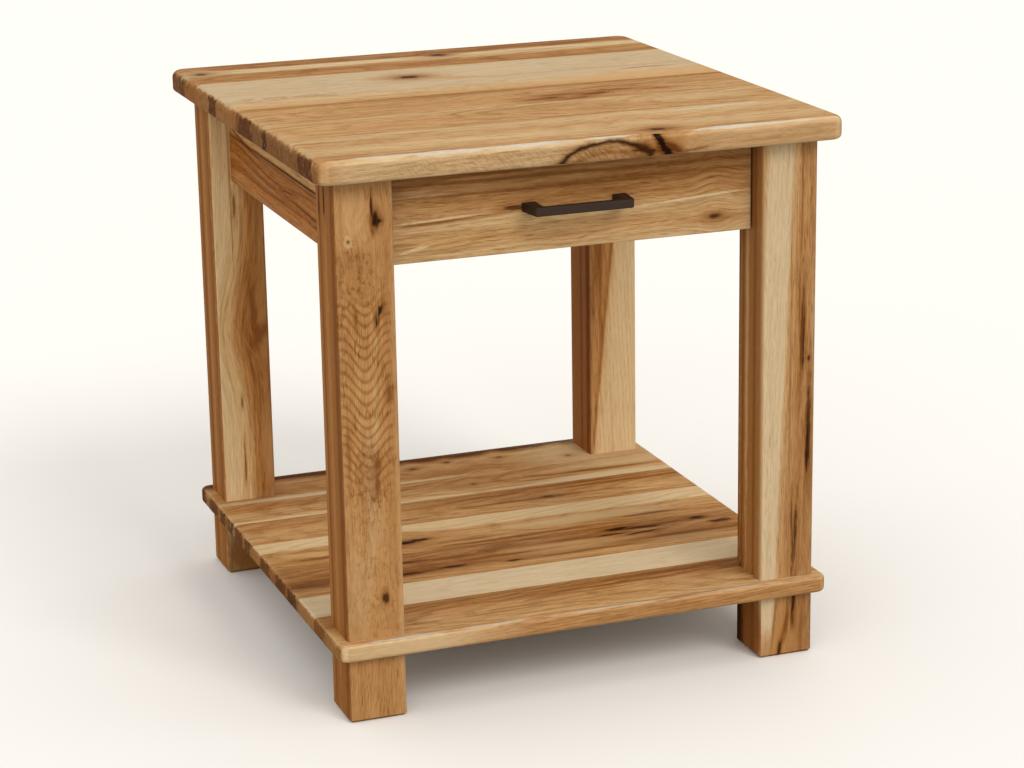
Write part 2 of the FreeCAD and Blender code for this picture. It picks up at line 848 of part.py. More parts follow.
os.makedirs("parts", exist_ok=True)
for name, shapes in pieces().items():
    solids = [solid for shape in shapes for solid in shape.Solids]
    whole = solids[0] if len(solids) == 1 else Part.makeCompound(solids)
    whole.exportStep(f"parts/{name}.step")
    print(name, len(solids), "solids, volume", round(whole.Volume), "valid", whole.isValid())
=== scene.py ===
import math

import bpy
from mathutils import Matrix, Vector


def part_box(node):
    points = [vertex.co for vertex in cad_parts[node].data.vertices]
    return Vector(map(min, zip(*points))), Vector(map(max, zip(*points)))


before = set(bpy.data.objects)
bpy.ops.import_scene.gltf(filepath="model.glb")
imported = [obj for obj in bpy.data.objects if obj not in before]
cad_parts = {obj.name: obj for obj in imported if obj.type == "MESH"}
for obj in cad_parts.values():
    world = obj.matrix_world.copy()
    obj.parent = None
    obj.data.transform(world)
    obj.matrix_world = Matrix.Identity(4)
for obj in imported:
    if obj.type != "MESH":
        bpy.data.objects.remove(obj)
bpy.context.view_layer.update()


# Camera: place in metres, turn to the right of +Y, tilt down, roll, and lens

camera_place = (-1.0388, -2.8875, 1.1564)
camera_turn = 0.352
camera_tilt = 0.282
camera_roll = -0.017
camera_lens = 97.32
camera_sensor = 36.0
camera_near, camera_far = 0.05, 60.0


def make_camera():
    """The photograph's viewpoint, slightly above the table and to its left."""
    ahead = Vector((math.sin(camera_turn) * math.cos(camera_tilt),
                    math.cos(camera_turn) * math.cos(camera_tilt), -math.sin(camera_tilt)))
    level = Vector((math.cos(camera_turn), -math.sin(camera_turn), 0))
    above = level.cross(ahead)
    right = level * math.cos(camera_roll) + above * math.sin(camera_roll)
    up = above * math.cos(camera_roll) - level * math.sin(camera_roll)
    turn = Matrix((right, up, -ahead)).transposed().to_4x4()
    data = bpy.data.cameras.new("camera")
    data.lens = camera_lens
    data.sensor_width = camera_sensor
    data.clip_start = camera_near
    data.clip_end = camera_far
    camera = bpy.data.objects.new("camera", data)
    camera.matrix_world = Matrix.Translation(camera_place) @ turn
    bpy.context.scene.collection.objects.link(camera)
    bpy.context.scene.camera = camera


make_camera()


# Shader arithmetic

mix_share, mix_first, mix_second = 0, 6, 7  # inputs of the Mix node for colours
mix_result = 2  # its output for colours


def one(operation):
    return lambda self: self.tree.math(operation, self)


def two(operation):
    return lambda self, other: self.tree.math(operation, self, other)


class Field:
    """A number that varies over a surface: an output socket."""

    __add__, __sub__, __mul__, __truediv__ = map(two, ("ADD", "SUBTRACT", "MULTIPLY", "DIVIDE"))
    least = two("MINIMUM")
    root, size, floor, fraction = map(one, ("SQRT", "ABSOLUTE", "FLOOR", "FRACT"))

    def __init__(self, tree, socket):
        self.tree = tree
        self.socket = socket

    def __rsub__(self, other):
        return self.tree.math("SUBTRACT", other, self)

    def bell(self):
        """One where the field is zero, and near zero beyond two."""
        return self.tree.math("EXPONENT", self * self * -1)

    def step(self, low, high, start=0.0, end=1.0):
        """Smooth step from start to end while the field goes from low to high."""
        node = self.tree.add("ShaderNodeMapRange", interpolation_type="SMOOTHSTEP")
        if low > high:
            low, high, start, end = high, low, end, start
        for slot, value in enumerate((self, low, high, start, end)):
            self.tree.put(node, slot, value)
        return Field(self.tree, node.outputs[0])


class Tree:
    """A shader node tree, written as arithmetic."""

    def __init__(self, tree):
        self.nodes = tree.nodes
        self.links = tree.links
        self.nodes.clear()

    def add(self, kind, **settings):
        node = self.nodes.new(kind)
        for key, value in settings.items():
            setattr(node, key, value)
        return node

    def put(self, node, slot, value):
        """Links a field or an output socket to an input, or writes a plain value on it."""
        target = node.inputs[slot]
        if isinstance(value, Field):
            value = value.socket
        if isinstance(value, bpy.types.NodeSocket):
            self.links.new(value, target)
        else:
            target.default_value = value

    def math(self, operation, first, second=None):
        node = self.add("ShaderNodeMath", operation=operation)
        self.put(node, 0, first)
        if second is not None:
            self.put(node, 1, second)
        return Field(self, node.outputs[0])

    def coordinates(self, output="Object"):
        """The three object coordinates in metres, or the surface's direction."""
        source = self.add("ShaderNodeTexCoord")
        parts = self.add("ShaderNodeSeparateXYZ")
        self.put(parts, 0, source.outputs[output])
        return [Field(self, socket) for socket in parts.outputs]

    def point(self, x, y, z):
        node = self.add("ShaderNodeCombineXYZ")
        for slot, value in enumerate((x, y, z)):
            self.put(node, slot, value)
        return node.outputs[0]

    def noise(self, point, scale, seed=0.0, detail=2.0, roughness=0.5):
        """Smooth noise, about 0.5 on average, with a scale for each axis. The seed moves the point."""
        place = self.add("ShaderNodeVectorMath", operation="MULTIPLY_ADD")
        self.put(place, 0, point)
        self.put(place, 1, scale)
        self.put(place, 2, (seed, -seed, 2 * seed))
        node = self.add("ShaderNodeTexNoise", noise_dimensions="3D")
        self.put(node, "Vector", place.outputs[0])
        self.put(node, "Scale", 1.0)
        self.put(node, "Detail", detail)
        self.put(node, "Roughness", roughness)
        return Field(self, node.outputs[0])

    def speck(self, value):
        """One random number from 0 to 1 for each value."""
        node = self.add("ShaderNodeTexWhiteNoise", noise_dimensions="1D")
        self.put(node, "W", value)
        return Field(self, node.outputs[0])

    def mix(self, share, first, second, blend="MIX"):
        """Colour between first and second."""
        node = self.add("ShaderNodeMix", data_type="RGBA", blend_type=blend)
        self.put(node, mix_share, share)
        self.put(node, mix_first, first)
        self.put(node, mix_second, second)
        return node.outputs[mix_result]

    def stain(self, colour, share, tone):
        """The colour multiplied by a tone, as far as share says."""
        return self.mix(share, colour, tone, "MULTIPLY")

    def ramp(self, position, stops):
        """Colour, and its fourth number, along stops of (place, colour)."""
        first, last = stops[0][0], stops[-1][0]
        node = self.add("ShaderNodeValToRGB")
        bar = node.color_ramp
        bar.elements[0].color = stops[0][1]
        bar.elements[1].color = stops[-1][1]
        for place, shade in stops[1:-1]:
            bar.elements.new((place - first) / (last - first)).color = shade
        self.put(node, 0, (position - first) / (last - first))
        return node.outputs[0], Field(self, node.outputs[1])

    def call(self, group, **inputs):
        """Output of a node group."""
        node = self.add("ShaderNodeGroup", node_tree=group)
        for name, value in inputs.items():
            self.put(node, name, value)
        return node.outputs[0]

    def surface(self, colour, roughness, height, depth, **settings):
        """Ends the material with a surface shader, a bump and its fixed settings."""
        shader = self.add("ShaderNodeBsdfPrincipled")
        self.put(shader, "Base Color", colour)
        self.put(shader, "Roughness", roughness)
        bump = self.add("ShaderNodeBump")
        self.put(bump, "Height", height)
        bump.inputs["Distance"].default_value = depth
        self.put(shader, "Normal", bump.outputs[0])
        for key, value in settings.items():
            shader.inputs[key.replace("_", " ")].default_value = value
        output = self.add("ShaderNodeOutputMaterial")
        self.links.new(shader.outputs[0], output.inputs[0])


def new_material(name):
    material = bpy.data.materials.new(name)
    material.use_nodes = True
    return material, Tree(material.node_tree)


def new_group(name, numbers, colours=(), output="Float"):
    """A node group: its tree, its input fields by name and its colour sockets by name."""
    group = bpy.data.node_groups.new(name, "ShaderNodeTree")
    for item in numbers:
        group.interface.new_socket(name=item, in_out="INPUT", socket_type="NodeSocketFloat")
    for item in colours:
        group.interface.new_socket(name=item, in_out="INPUT", socket_type="NodeSocketColor")
    group.interface.new_socket(name="result", in_out="OUTPUT", socket_type=f"NodeSocket{output}")
    tree = Tree(group)
    source = tree.add("NodeGroupInput")
    fields = {item: Field(tree, source.outputs[item]) for item in numbers}
    fields.update({item: source.outputs[item] for item in colours})
    return group, tree, fields


def end_group(tree, result):
    sink = tree.add("NodeGroupOutput")
    tree.put(sink, 0, result)


# Node groups that draw at a place on a face. A reach is a distance from it, in half lengths along the
# grain and half widths across it.

oval_inputs = ("along", "across", "depth", "at", "side", "long", "wide", "slope")
halo_tone = (0.62, 0.45, 0.27, 1.0)
halo_reach = (2.4, 0.8)  # reach where a mark's halo starts, and where it is full
arc_halo_wide = 2.6  # how many times wider an arc's halo is than its line
arc_halo_share = 0.7


def make_oval():
    """The reach of a point, with its depth behind the face added."""
    group, tree, f = new_group("oval", oval_inputs)
    a = f["along"] - f["at"]
    b = (f["across"] - f["side"] - a * f["slope"]) / f["wide"]
    a = a / f["long"]
    end_group(tree, (a * a + b * b).root() + f["depth"])
    return group


def ragged_reach(tree, oval, f):
    return Field(tree, tree.call(oval, **{name: f[name] for name in oval_inputs})) + f["rag"]


def make_mark(oval):
    """Colours an oval with a ragged edge: full inside the inner reach, nothing beyond the outer one."""
    numbers = (*oval_inputs, "rag", "inner", "outer", "share", "halo")
    group, tree, f = new_group("mark", numbers, ("colour", "shade"), "Color")
    reach = ragged_reach(tree, oval, f)
    share = (f["outer"] - reach) / (f["outer"] - f["inner"])
    toned = tree.stain(f["colour"], reach.step(*halo_reach) * f["halo"], halo_tone)
    end_group(tree, tree.mix(share.step(0.0, 1.0) * f["share"], toned, f["shade"]))
    return group


def make_arc(oval):
    """Colours a curved line, where the saw crossed the side of a swirl."""
    group, tree, f = new_group("arc", (*oval_inputs, "rag", "thick", "share"), ("colour", "shade"), "Color")
    reach = ragged_reach(tree, oval, f)
    edge = ((reach - 1) / f["thick"]).bell()
    halo = ((reach - 1) / (f["thick"] * arc_halo_wide)).bell()
    toned = tree.stain(f["colour"], halo * f["share"] * arc_halo_share, halo_tone)
    end_group(tree, tree.mix(edge * f["share"], toned, f["shade"]))
    return group


def make_swirl():
    """Shifts a cross coordinate, so that the grain parts round a place."""
    group, tree, f = new_group("swirl", ("along", "across", "place", "at", "side", "long", "wide"))
    off = f["across"] - f["side"]
    near = ((f["along"] - f["at"]) / f["long"]).bell()
    end_group(tree, f["place"] - off / (off * off + f["wide"] * f["wide"]).root() * f["wide"] * near)
    return group


oval_group = make_oval()
mark_group = make_mark(oval_group)
arc_group = make_arc(oval_group)
swirl_group = make_swirl()


def tint(code, figure=1.0):
    """Linear colour of a six-digit sRGB colour. The fourth number says how strongly a wood's figure shows."""
    parts = [int(code[k:k + 2], 16) / 255 for k in (0, 2, 4)]
    linear = [c / 12.92 if c <= 0.04045 else ((c + 0.055) / 1.055) ** 2.4 for c in parts]
    return (*linear, figure)


# Hickory. Lengths in the looks below are millimetres in the table's own frame.

mm = 0.001

cream = tint("ccb48e", 0.35)
pale = tint("c8aa7e", 0.6)
# paler colour painted as light on the top's front edge face, which the lamps light less than the top; on the
# left of the shelf's nosing it also stands for rubbed wear
front_painted_light = tint("d4b88e", 0.6)
tan = tint("c29b6b", 0.85)
top_pale = tint("c0aa89", 0.35)
# painted highlight: a whitish colour drawn as lines along the front round-overs of the top and the shelf, and
# as one pale line on the top's front board
painted_highlight = tint("c3b7a3", 0.2)
nosing = tint("b98c5c", 0.8)
honey = tint("b38655")
copper = tint("ab7541")
fawn = tint("a87745")
amber = tint("9f6c3a")
brown = tint("9d6f40")
sienna = tint("98622f")
russet = tint("955c2c")
auburn = tint("8f5a2c")
bark = tint("835426")
chestnut = tint("7d5229")
umber = tint("794c26")
mocha = tint("764620")
rust = tint("5f3615")
dusk = tint("3c200d")
coal = tint("2e1b0c")
black = tint("241207")

maple = tint("dfcba6")
maple_deep = tint("d3bb92")
birch = tint("e0cfae")
beech = tint("cfa77c")

# Tones that a colour is multiplied by
ring_tone = (0.52, 0.37, 0.22, 1.0)
fibre_tone = (0.64, 0.50, 0.35, 1.0)
broad_tone = (0.74, 0.62, 0.47, 1.0)
end_tone = (0.52, 0.39, 0.26, 1.0)
seam_tone = (0.45, 0.33, 0.22, 1.0)
streak_tone = (0.32, 0.19, 0.10, 1.0)
wave_tone = (0.64, 0.53, 0.40, 1.0)
eye_tone = (0.52, 0.37, 0.21, 1.0)

# Noises: their point ("grain" bends with the grain), scale along and across, what is added to the look's
# seed, and detail and roughness
noises = {
    "fuzzy": ("straight", 110, 110, 0),  # unevenness of what is drawn
    "slow": ("straight", 1.7, 6, 0),  # wander of the grain
    "quick": ("straight", 9, 26, 5, 3.0, 0.45),
    "dash": ("grain", 70, 330, 0, 2.0, 0.6),  # breaks in the rings
    "broad": ("grain", 2.2, 38, 0, 3.0, 0.6),
    "medium": ("grain", 5, 95, 3, 3.0, 0.65),
    "fine": ("grain", 11, 230, 6, 3.0, 0.7),
    "fibre": ("grain", 38, 640, 0, 2.0, 0.6),
    "pore": ("grain", 70, 1500, 0, 1.0, 0.5),
    "streak": ("grain", 2.2, 85, 9, 3.0, 0.6),
    "speck": ("grain", 34, 330, 0, 1.0, 0.5),
    "unrest": ("straight", 14, 16, 0, 0.6, 0.5),  # in waves
    "ragged": ("grain", 45, 420, 0),  # edge of a mark
    "eyes": ("straight", 120, 170, 0, 3.0, 0.65),  # in burls
    "blotch": ("straight", 60, 90, 0, 3.0, 0.6),  # edge of a patch of end grain
    "mottle": ("straight", 90, 130, 0, 4.0, 0.7),  # end grain
}

# Value of a noise where it starts to show, and where it shows in full
shows = {
    "dash": (0.25, 0.55),
    "broad": (0.42, 0.66),
    "pale": (0.44, 0.32),  # the low parts of the broad noise
    "medium": (0.48, 0.66),
    "fine": (0.48, 0.62),
    "fibre": (0.45, 0.62),
    "pore": (0.54, 0.64),
    "dent": (0.5, 0.72),  # pores in the bump
    "streak": (0.60, 0.70),
    "speck": (0.70, 0.78),
    "hatch": (0.45, 0.6),
    "eyes": (0.46, 0.70),
    "mottle": (0.50, 0.66),
    "mottle_pale": (0.44, 0.30),
}

# Largest share of each layer, where the look doesn't give it
pale_share, medium_share, fine_share, fibre_share = 0.6, 0.7, 0.8, 0.7
pore_share = (0.6, 0.25)  # more on a ring's line, and elsewhere
mottle_share, mottle_pale_share, seam_share = 0.6, 0.3, 0.3

# Year rings: the parts of a year in which the line rises and falls, and finer lines between them
ring_rise, ring_fall = (0.0, 0.10), (0.14, 0.60)
ring_fuzz = 0.3  # in rings
year_spread = 0.5  # how much the years differ
hair_rise, hair_fall = (0.0, 0.2), (0.2, 0.6)
hair_count, hair_shift, hair_share = 3.0, 0.37, 0.25
dash_low = 0.5  # share of a ring that a break leaves
pale_ring = 0.5  # share of a ring in wood without figure

# Reach where what is drawn on a face is full, and where it ends
mark_edge, patch_edge = (0.55, 1.15), (0.3, 1.25)
ray_edge, burl_edge, core_edge = (0.6, 1.1), (0.5, 1.25), (0.3, 0.9)

# How far the ragged and the fuzzy noise move an edge, and how strongly the fuzzy one changes a shade
patch_rag, mark_rag = (0.5, 0.4), (1.3, 0.5)
knot_rag, arc_rag, end_rag = 1.3, 0.2, 0.9
uneven = 1.2
# shares of the waves and of the paler edges (wear with painted highlight), and how much end grain keeps its
# edges from paling
wave_share, wear_and_highlight_share, wear_and_highlight_end = 0.9, 0.8, 0.8

# Bump and roughness
wood_relief = 0.4
ring_relief, pore_relief, fibre_relief = -0.2, -0.5, 0.3
rough_base, rough_fibre, rough_end, rough_worn = 0.42, 0.14, 0.14, 0.12

mark_halo = 0.7
knot_halos = ((0.35, 0.75, brown), (0.7, 0.85, rust))  # how tight, share and colour
hatch_scale = (420, 70, 70)  # of the short dashes in rays
end_turn = (0.55, 0.95)  # how far a surface faces along the grain, where end grain starts and is full
end_edge, end_shift = (1.15, 0.85), 0.05  # edge of a patch of end grain
dark_limit = 0.24  # a mark redder than this has no dark halo
edge_reach = 7.0  # how far the paler edges, wear with painted highlight, reach in from an edge
face_reach = (8, 16)  # depth at which what is drawn near one face starts and ends to fade
face_turn = (0.35, 0.65)  # the same, as the surface turns away from that face
far_out = 9.0  # added to the reach of what is drawn on a face, away from that face
seam_reach = (0.2, 0.9)  # distance from a glue line where its shade is full, and where it ends
knot_swirl = (2.2, 1.6)  # length and width of the swirl round a knot, in the knot's own
mark_drift, wave_drift = 0.2, 0.3  # share of the grain's drift that they follow
wave_unrest = 3.6  # in wave spacings
wave_fade, wave_edge = 30, 4  # at their start and end, and at their sides
wave_line, wave_turn = (-0.2, 1.0), (0.5, 0.9)

plain_look = {
    "grain": "X",
    "across": "Y",  # axis that the bands are laid along
    "seed": 0.0,
    "bands": (-1, tan, 1, tan),  # places and colours in turn
    "slant": 0.0,  # how far the bands shift across for each length along
    "tone": (1.0, 1.0, 1.0),  # what the bands' colours are multiplied by; on the shelf and the back legs it lightens them, painted light against shade
    "wander": 9.0,  # how far the grain wanders
    "ripple": 0.35,  # share of its quick wander
    "pith": (0.0, -90.0),  # heart of the tree, from the middle of the piece, on the two cross axes
    "lean": (0.0, 0.05),  # how far the pith drifts for each length along
    "ring": 3.4,  # width of a year's ring
    "wobble": 0.8,  # how far the rings waver, in rings
    "waver": (4, 25, 25),  # how quickly they do
    "rings": 0.40,
    "broad": 0.45,
    "fibres": 0.6,
    "streaks": 0.35,
    "specks": 0.25,
    "wear_and_highlight": 0.12,  # how pale the edges are, for wear; on the top and the shelf this also paints a highlight
    "end_share": 0.75,  # how much darker the end grain is
    "ends": (),  # place across, half width, colour and share, on the end grain alone
    "whole": None,  # start of the names of the boards that this one is glued up with

    # Drawn on faces: each list names a face, such as "-X" for the one towards -X, before what is on it.
    # Each thing starts with its place along and across the grain, and its half length and half width.
    "knots": (),  # then share
    "swirls": (),
    "marks": (),  # then colour, share, slope
    "patches": (),  # the same, with a softer edge
    "arcs": (),  # then thickness, colour, share
    "rays": (),  # then share
    "burls": (),  # then share, for small dark eyes in the grain
    "waves": (),  # start and end, middle and half width across, period, rise, spacing, share
}


def axis(name):
    """Number of the axis that a direction such as "Y" or "-Y" lies on."""
    return "XYZ".index(name[-1])


class Cut:
    """One piece of timber: its coordinates along and across the grain, in metres."""

    def __init__(self, tree, node, look):
        self.tree = tree
        self.look = look
        self.low, self.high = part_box(node)
        boxes = [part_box(name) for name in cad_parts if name.startswith(look["whole"] or node)]
        self.whole_low = [min(box[0][k] for box in boxes) for k in range(3)]
        self.whole_high = [max(box[1][k] for box in boxes) for k in range(3)]
        self.place = tree.coordinates()
        self.facing = tree.coordinates("Normal")
        self.main = axis(look["grain"])
        self.sides = [k for k in range(3) if k != self.main]
        self.band_axis = axis(look["across"])
        self.along = self.place[self.main]
        self.depths = {}
        self.points = {"straight": tree.point(self.along, *[self.place[k] for k in self.sides])}
        self.fuzzy = self.noise("fuzzy", 0.0) - 0.5
        self.bend()
        self.points["grain"] = tree.point(self.along, *[self.bent[k] for k in self.sides])

    def noise(self, name, seed=None):
        """One of the noises named above."""
        point, along, across, shift, *rest = noises[name]
        if seed is None:
            seed = self.look["seed"] + shift
        return self.tree.noise(self.points[point], (along, across, across), seed, *rest)

    def shown(self, name, *ends):
        """How strongly one of them shows."""
        return self.noise(name).step(*shows[name], *ends)

    def bend(self):
        """Lets the two cross coordinates wander with the grain, and part round the knots."""
        tree, look = self.tree, self.look
        wander = look["wander"] * mm
        self.bent = list(self.place)
        self.drift = {}
        for k, turn in zip(self.sides, (1, 2)):
            slow = self.noise("slow", look["seed"] * turn) - 0.5
            quick = self.noise("quick", look["seed"] + noises["quick"][3] * turn) - 0.5
            self.drift[k] = slow * wander * 2 + quick * wander * look["ripple"]
            self.bent[k] = self.place[k] + self.drift[k]
        swirls = [(face, (at, side, long * knot_swirl[0], wide * knot_swirl[1]))
                  for face, (at, side, long, wide, _) in self.drawn("knots")]
        for face, (at, side, long, wide) in (*swirls, *self.drawn("swirls")):
            k = self.cross_axis(face)
            self.bent[k] = Field(tree, tree.call(
                swirl_group, along=self.along, across=self.place[k], place=self.bent[k],
                at=at * mm, side=side * mm, long=long * mm, wide=wide * mm))

    def drawn(self, kind):
        """Face and numbers of each thing of one kind that the look draws."""
        things = []
        for item in self.look[kind]:
            if isinstance(item, str):
                face = item
            else:
                things.append((face, item))
        return things

    def cross_axis(self, face):
        """Axis across the grain that lies in a face."""
        return [k for k in self.sides if k != axis(face)][0]

    def depth(self, face):
        """Zero on a face and large away from it."""
        if face not in self.depths:
            k = axis(face)
            sign = -1 if face[0] == "-" else 1
            behind = (self.place[k] - (self.low if sign < 0 else self.high)[k]) * -sign
            turned = (self.facing[k] * sign).step(*face_turn, far_out, 0.0)
            self.depths[face] = behind.step(face_reach[0] * mm, face_reach[1] * mm, 0.0, far_out) + turned
        return self.depths[face]

    def oval(self, face, at, side, long, wide, slope=0.0):
        """Inputs of the groups that draw an oval on a face."""
        k = self.cross_axis(face)
        return dict(along=self.along, across=self.place[k] + self.drift[k] * mark_drift,
                    depth=self.depth(face), at=at * mm, side=side * mm, long=long * mm, wide=wide * mm,
                    slope=slope)

    def reach(self, face, *place):
        return Field(self.tree, self.tree.call(oval_group, **self.oval(face, *place)))

    def edge(self):
        """One along the outer edges of the piece, or of the whole that it is glued into."""
        near = [((self.place[k] - self.whole_low[k]).least(self.whole_high[k] - self.place[k])
                 / (edge_reach * mm)).bell() for k in range(3)]
        return (near[0] * near[1] + near[1] * near[2] + near[0] * near[2]).least(1.0)


def year_rings(cut):
    """Dark lines of the years round the pith, and fainter ones between them."""
    look = cut.look
    off = []
    for k, lean, pith in zip(cut.sides, look["lean"], look["pith"]):
        middle = (cut.low[k] + cut.high[k]) / 2
        off.append(cut.bent[k] - (cut.along * lean + (middle + pith * mm)))
    radius = (off[0] * off[0] + off[1] * off[1]).root() + cut.fuzzy * (ring_fuzz * look["ring"] * mm)
    wobble = cut.tree.noise(cut.points["grain"], look["waver"], look["seed"]) * look["wobble"]
    phase = radius / (look["ring"] * mm) + wobble
    year = cut.tree.speck(phase.floor() + look["seed"])
    turn = phase.fraction()
    ring = (turn.step(*ring_rise) - turn.step(*ring_fall)) * (year * year_spread + (1 - year_spread))
    between = (phase * hair_count + hair_shift).fraction()
    return ring, (between.step(*hair_rise) - between.step(*hair_fall)) * hair_share


def draw_waves(cut, colour):
    """Waves where the saw crossed a bow in the grain."""
    tree = cut.tree
    for face, (start, finish, side, half, period, rise, spacing, share) in cut.drawn("waves"):
        k = cut.cross_axis(face)
        off = cut.place[k] + cut.drift[k] * wave_drift - side * mm
        swing = tree.math("COSINE", off * (2 * math.pi / (period * mm)))
        unrest = (cut.noise("unrest") - 0.5) * (wave_unrest * spacing * mm)
        lift = cut.along + swing * (rise * mm / 2) + unrest
        line = tree.math("SINE", lift * (2 * math.pi / (spacing * mm))).step(*wave_line)
        zone = (cut.along.step((start - wave_fade) * mm, (start + wave_fade) * mm)
                * cut.along.step((finish + wave_fade) * mm, (finish - wave_fade) * mm))
        near = off.size().step((half + wave_edge) * mm, (half - wave_edge) * mm)
        facing = cut.facing[axis(face)].size().step(*wave_turn)
        wave = line * zone * near * facing * (cut.fuzzy * uneven + wave_share)
        colour = tree.stain(colour, wave * share, wave_tone)
    return colour


def draw_ovals(cut, colour, kind, rag, edge, halo_share):
    """Patches or marks."""
    for face, (at, side, long, wide, shade, share, *slope) in cut.drawn(kind):
        halo = halo_share * share if shade[0] < dark_limit else 0.0
        colour = cut.tree.call(mark_group, colour=colour, shade=shade, share=share, rag=rag, inner=edge[0],
                               outer=edge[1], halo=halo, **cut.oval(face, at, side, long, wide, *slope))
    return colour


def draw_places(cut, colour):
    """What is drawn at places of its own. The second result is the knots' cores, or None."""
    tree = cut.tree
    ragged = cut.noise("ragged", 0.0) - 0.5
    colour = draw_ovals(cut, colour, "patches", ragged * patch_rag[0] + cut.fuzzy * patch_rag[1],
                        patch_edge, 0.0)
    for face, (*place, share) in cut.drawn("rays"):
        slanted = tree.point(cut.place[0] + cut.place[2], cut.place[0] - cut.place[2], cut.place[1])
        hatch = tree.noise(slanted, hatch_scale, cut.look["seed"], 2.0, 0.6)
        region = cut.reach(face, *place).step(*ray_edge, 1.0, 0.0)
        colour = tree.stain(colour, hatch.step(*shows["hatch"]) * region * share, fibre_tone)
    for face, (*place, share) in cut.drawn("burls"):
        region = (cut.reach(face, *place) + cut.fuzzy).step(*burl_edge, 1.0, 0.0)
        colour = tree.stain(colour, cut.shown("eyes") * region * share, eye_tone)
    cores = None
    for face, (*place, share) in cut.drawn("knots"):
        reach = cut.reach(face, *place) + cut.fuzzy * knot_rag
        for tight, strength, shade in knot_halos:
            colour = tree.mix((reach * tight).bell() * share * strength, colour, shade)
        core = reach.step(*core_edge, 1.0, 0.0) * share
        colour = tree.mix(core, colour, dusk)
        cores = core if cores is None else cores + core
    colour = draw_ovals(cut, colour, "marks", ragged * mark_rag[0] + cut.fuzzy * mark_rag[1],
                        mark_edge, mark_halo)
    for face, (at, side, long, wide, thick, shade, share) in cut.drawn("arcs"):
        colour = tree.call(arc_group, colour=colour, shade=shade, share=share, rag=cut.fuzzy * arc_rag,
                           thick=thick, **cut.oval(face, at, side, long, wide))
    return colour, cores


def draw_ends(cut, colour, end):
    """End grain drinks the finish and turns darker, and glue lines show between boards."""
    tree, look = cut.tree, cut.look
    across = cut.place[cut.band_axis]
    colour = tree.stain(colour, end * look["end_share"], end_tone)
    blotch = cut.noise("blotch") - 0.5
    for at, half, shade, share in look["ends"]:
        side = across + blotch * end_shift - at * mm
        colour = tree.mix((side / (half * mm)).size().step(*end_edge) * end * share, colour, shade)
    mottle = cut.noise("mottle")
    colour = tree.stain(colour, mottle.step(*shows["mottle"]) * end * mottle_share, end_tone)
    colour = tree.mix(mottle.step(*shows["mottle_pale"]) * end * mottle_pale_share, colour, honey)
    if look["whole"]:
        near = (across - cut.low[cut.band_axis]).least(cut.high[cut.band_axis] - across)
        seam = near.step(seam_reach[0] * mm, seam_reach[1] * mm, 1.0, 0.0)
        colour = tree.stain(colour, seam * seam_share, seam_tone)
    return colour


def dress(node, material):
    """Puts one material on a CAD node."""
    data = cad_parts[node].data
    data.materials.clear()
    data.materials.append(material)


def timber(node, base=(), **changes):
    """Dresses a piece of timber with all that its look says, and a leg's foot with it."""
    look = {**plain_look, **dict(base), **changes}
    material, tree = new_material(f"hickory_{node}")
    cut = Cut(tree, node, look)

    # Bands of sapwood and heartwood
    tone = (*look["tone"], 1.0)
    stops = zip(look["bands"][::2], look["bands"][1::2])
    bands = [(place * mm, [c * t for c, t in zip(shade, tone)]) for place, shade in stops]
    colour, figure = tree.ramp(cut.bent[cut.band_axis] - cut.along * look["slant"], bands)
    fibres = figure * look["fibres"]

    # Slow tone, streaks, rings, fibres and pores
    ring, hair = year_rings(cut)
    rings = (ring + hair) * look["rings"] * cut.shown("dash", dash_low, 1.0)
    broad, fibre, pore = cut.noise("broad"), cut.noise("fibre"), cut.noise("pore")
    colour = tree.stain(colour, broad.step(*shows["broad"]) * figure * look["broad"], broad_tone)
    colour = tree.mix(broad.step(*shows["pale"]) * look["broad"] * pale_share, colour, cream)
    colour = tree.stain(colour, cut.shown("medium") * fibres * medium_share, fibre_tone)
    colour = tree.stain(colour, cut.shown("fine") * fibres * fine_share, fibre_tone)
    colour = tree.stain(colour, rings * (figure * (1 - pale_ring) + pale_ring), ring_tone)
    colour = tree.stain(colour, fibre.step(*shows["fibre"]) * fibres * fibre_share, fibre_tone)
    pores = pore.step(*shows["pore"]) * (ring * pore_share[0] + pore_share[1]) * figure
    colour = tree.stain(colour, pores, ring_tone)
    colour = tree.stain(colour, cut.shown("streak") * look["streaks"], streak_tone)
    colour = tree.mix(cut.shown("speck") * look["specks"], colour, rust)

    # Edges rubbed paler: wear, and on the top and the shelf also a painted highlight along them
    turned = cut.facing[cut.main].size()
    end = (turned + cut.fuzzy * turned * end_rag).step(*end_turn)
    wear_and_highlight = cut.edge() * (cut.fuzzy * uneven + wear_and_highlight_share)
    colour = tree.mix(wear_and_highlight * (1 - end * wear_and_highlight_end) * look["wear_and_highlight"], colour, cream)

    colour = draw_waves(cut, colour)
    colour, cores = draw_places(cut, colour)
    colour = draw_ends(cut, colour, end)

    height = (ring + hair) * ring_relief + pore.step(*shows["dent"]) * pore_relief + fibre * fibre_relief
    if cores is not None:
        height = height - cores
    rough = fibre * rough_fibre + end * rough_end + rough_base - wear_and_highlight * rough_worn
    tree.surface(colour, rough, height, wood_relief * mm,
                 Specular_IOR_Level=0.0, Coat_Weight=0.06, Coat_Roughness=0.24)
    dress(node, material)
    if node.startswith("leg_"):
        dress(node.replace("leg_", "foot_"), material)


# The shelf's tone lightens its colours: painted light against the shade that the top casts on it. On the top
# and the shelf the paler edges stand for wear and a painted highlight.
shelf = dict(whole="shelf_board", wear_and_highlight=0.15, ripple=0.7, tone=(1.16, 1.14, 1.08))
top = dict(whole="top_board", ring=3.6, wear_and_highlight=0.2, ripple=0.8)
leg = dict(grain="Z", across="X")
apron = dict(grain="Y", across="Z")
box = dict(rings=0.15, broad=0.2, streaks=0.0, fibres=0.25, specks=0.0, end_share=0.35)

# Top, from the back board to the front one

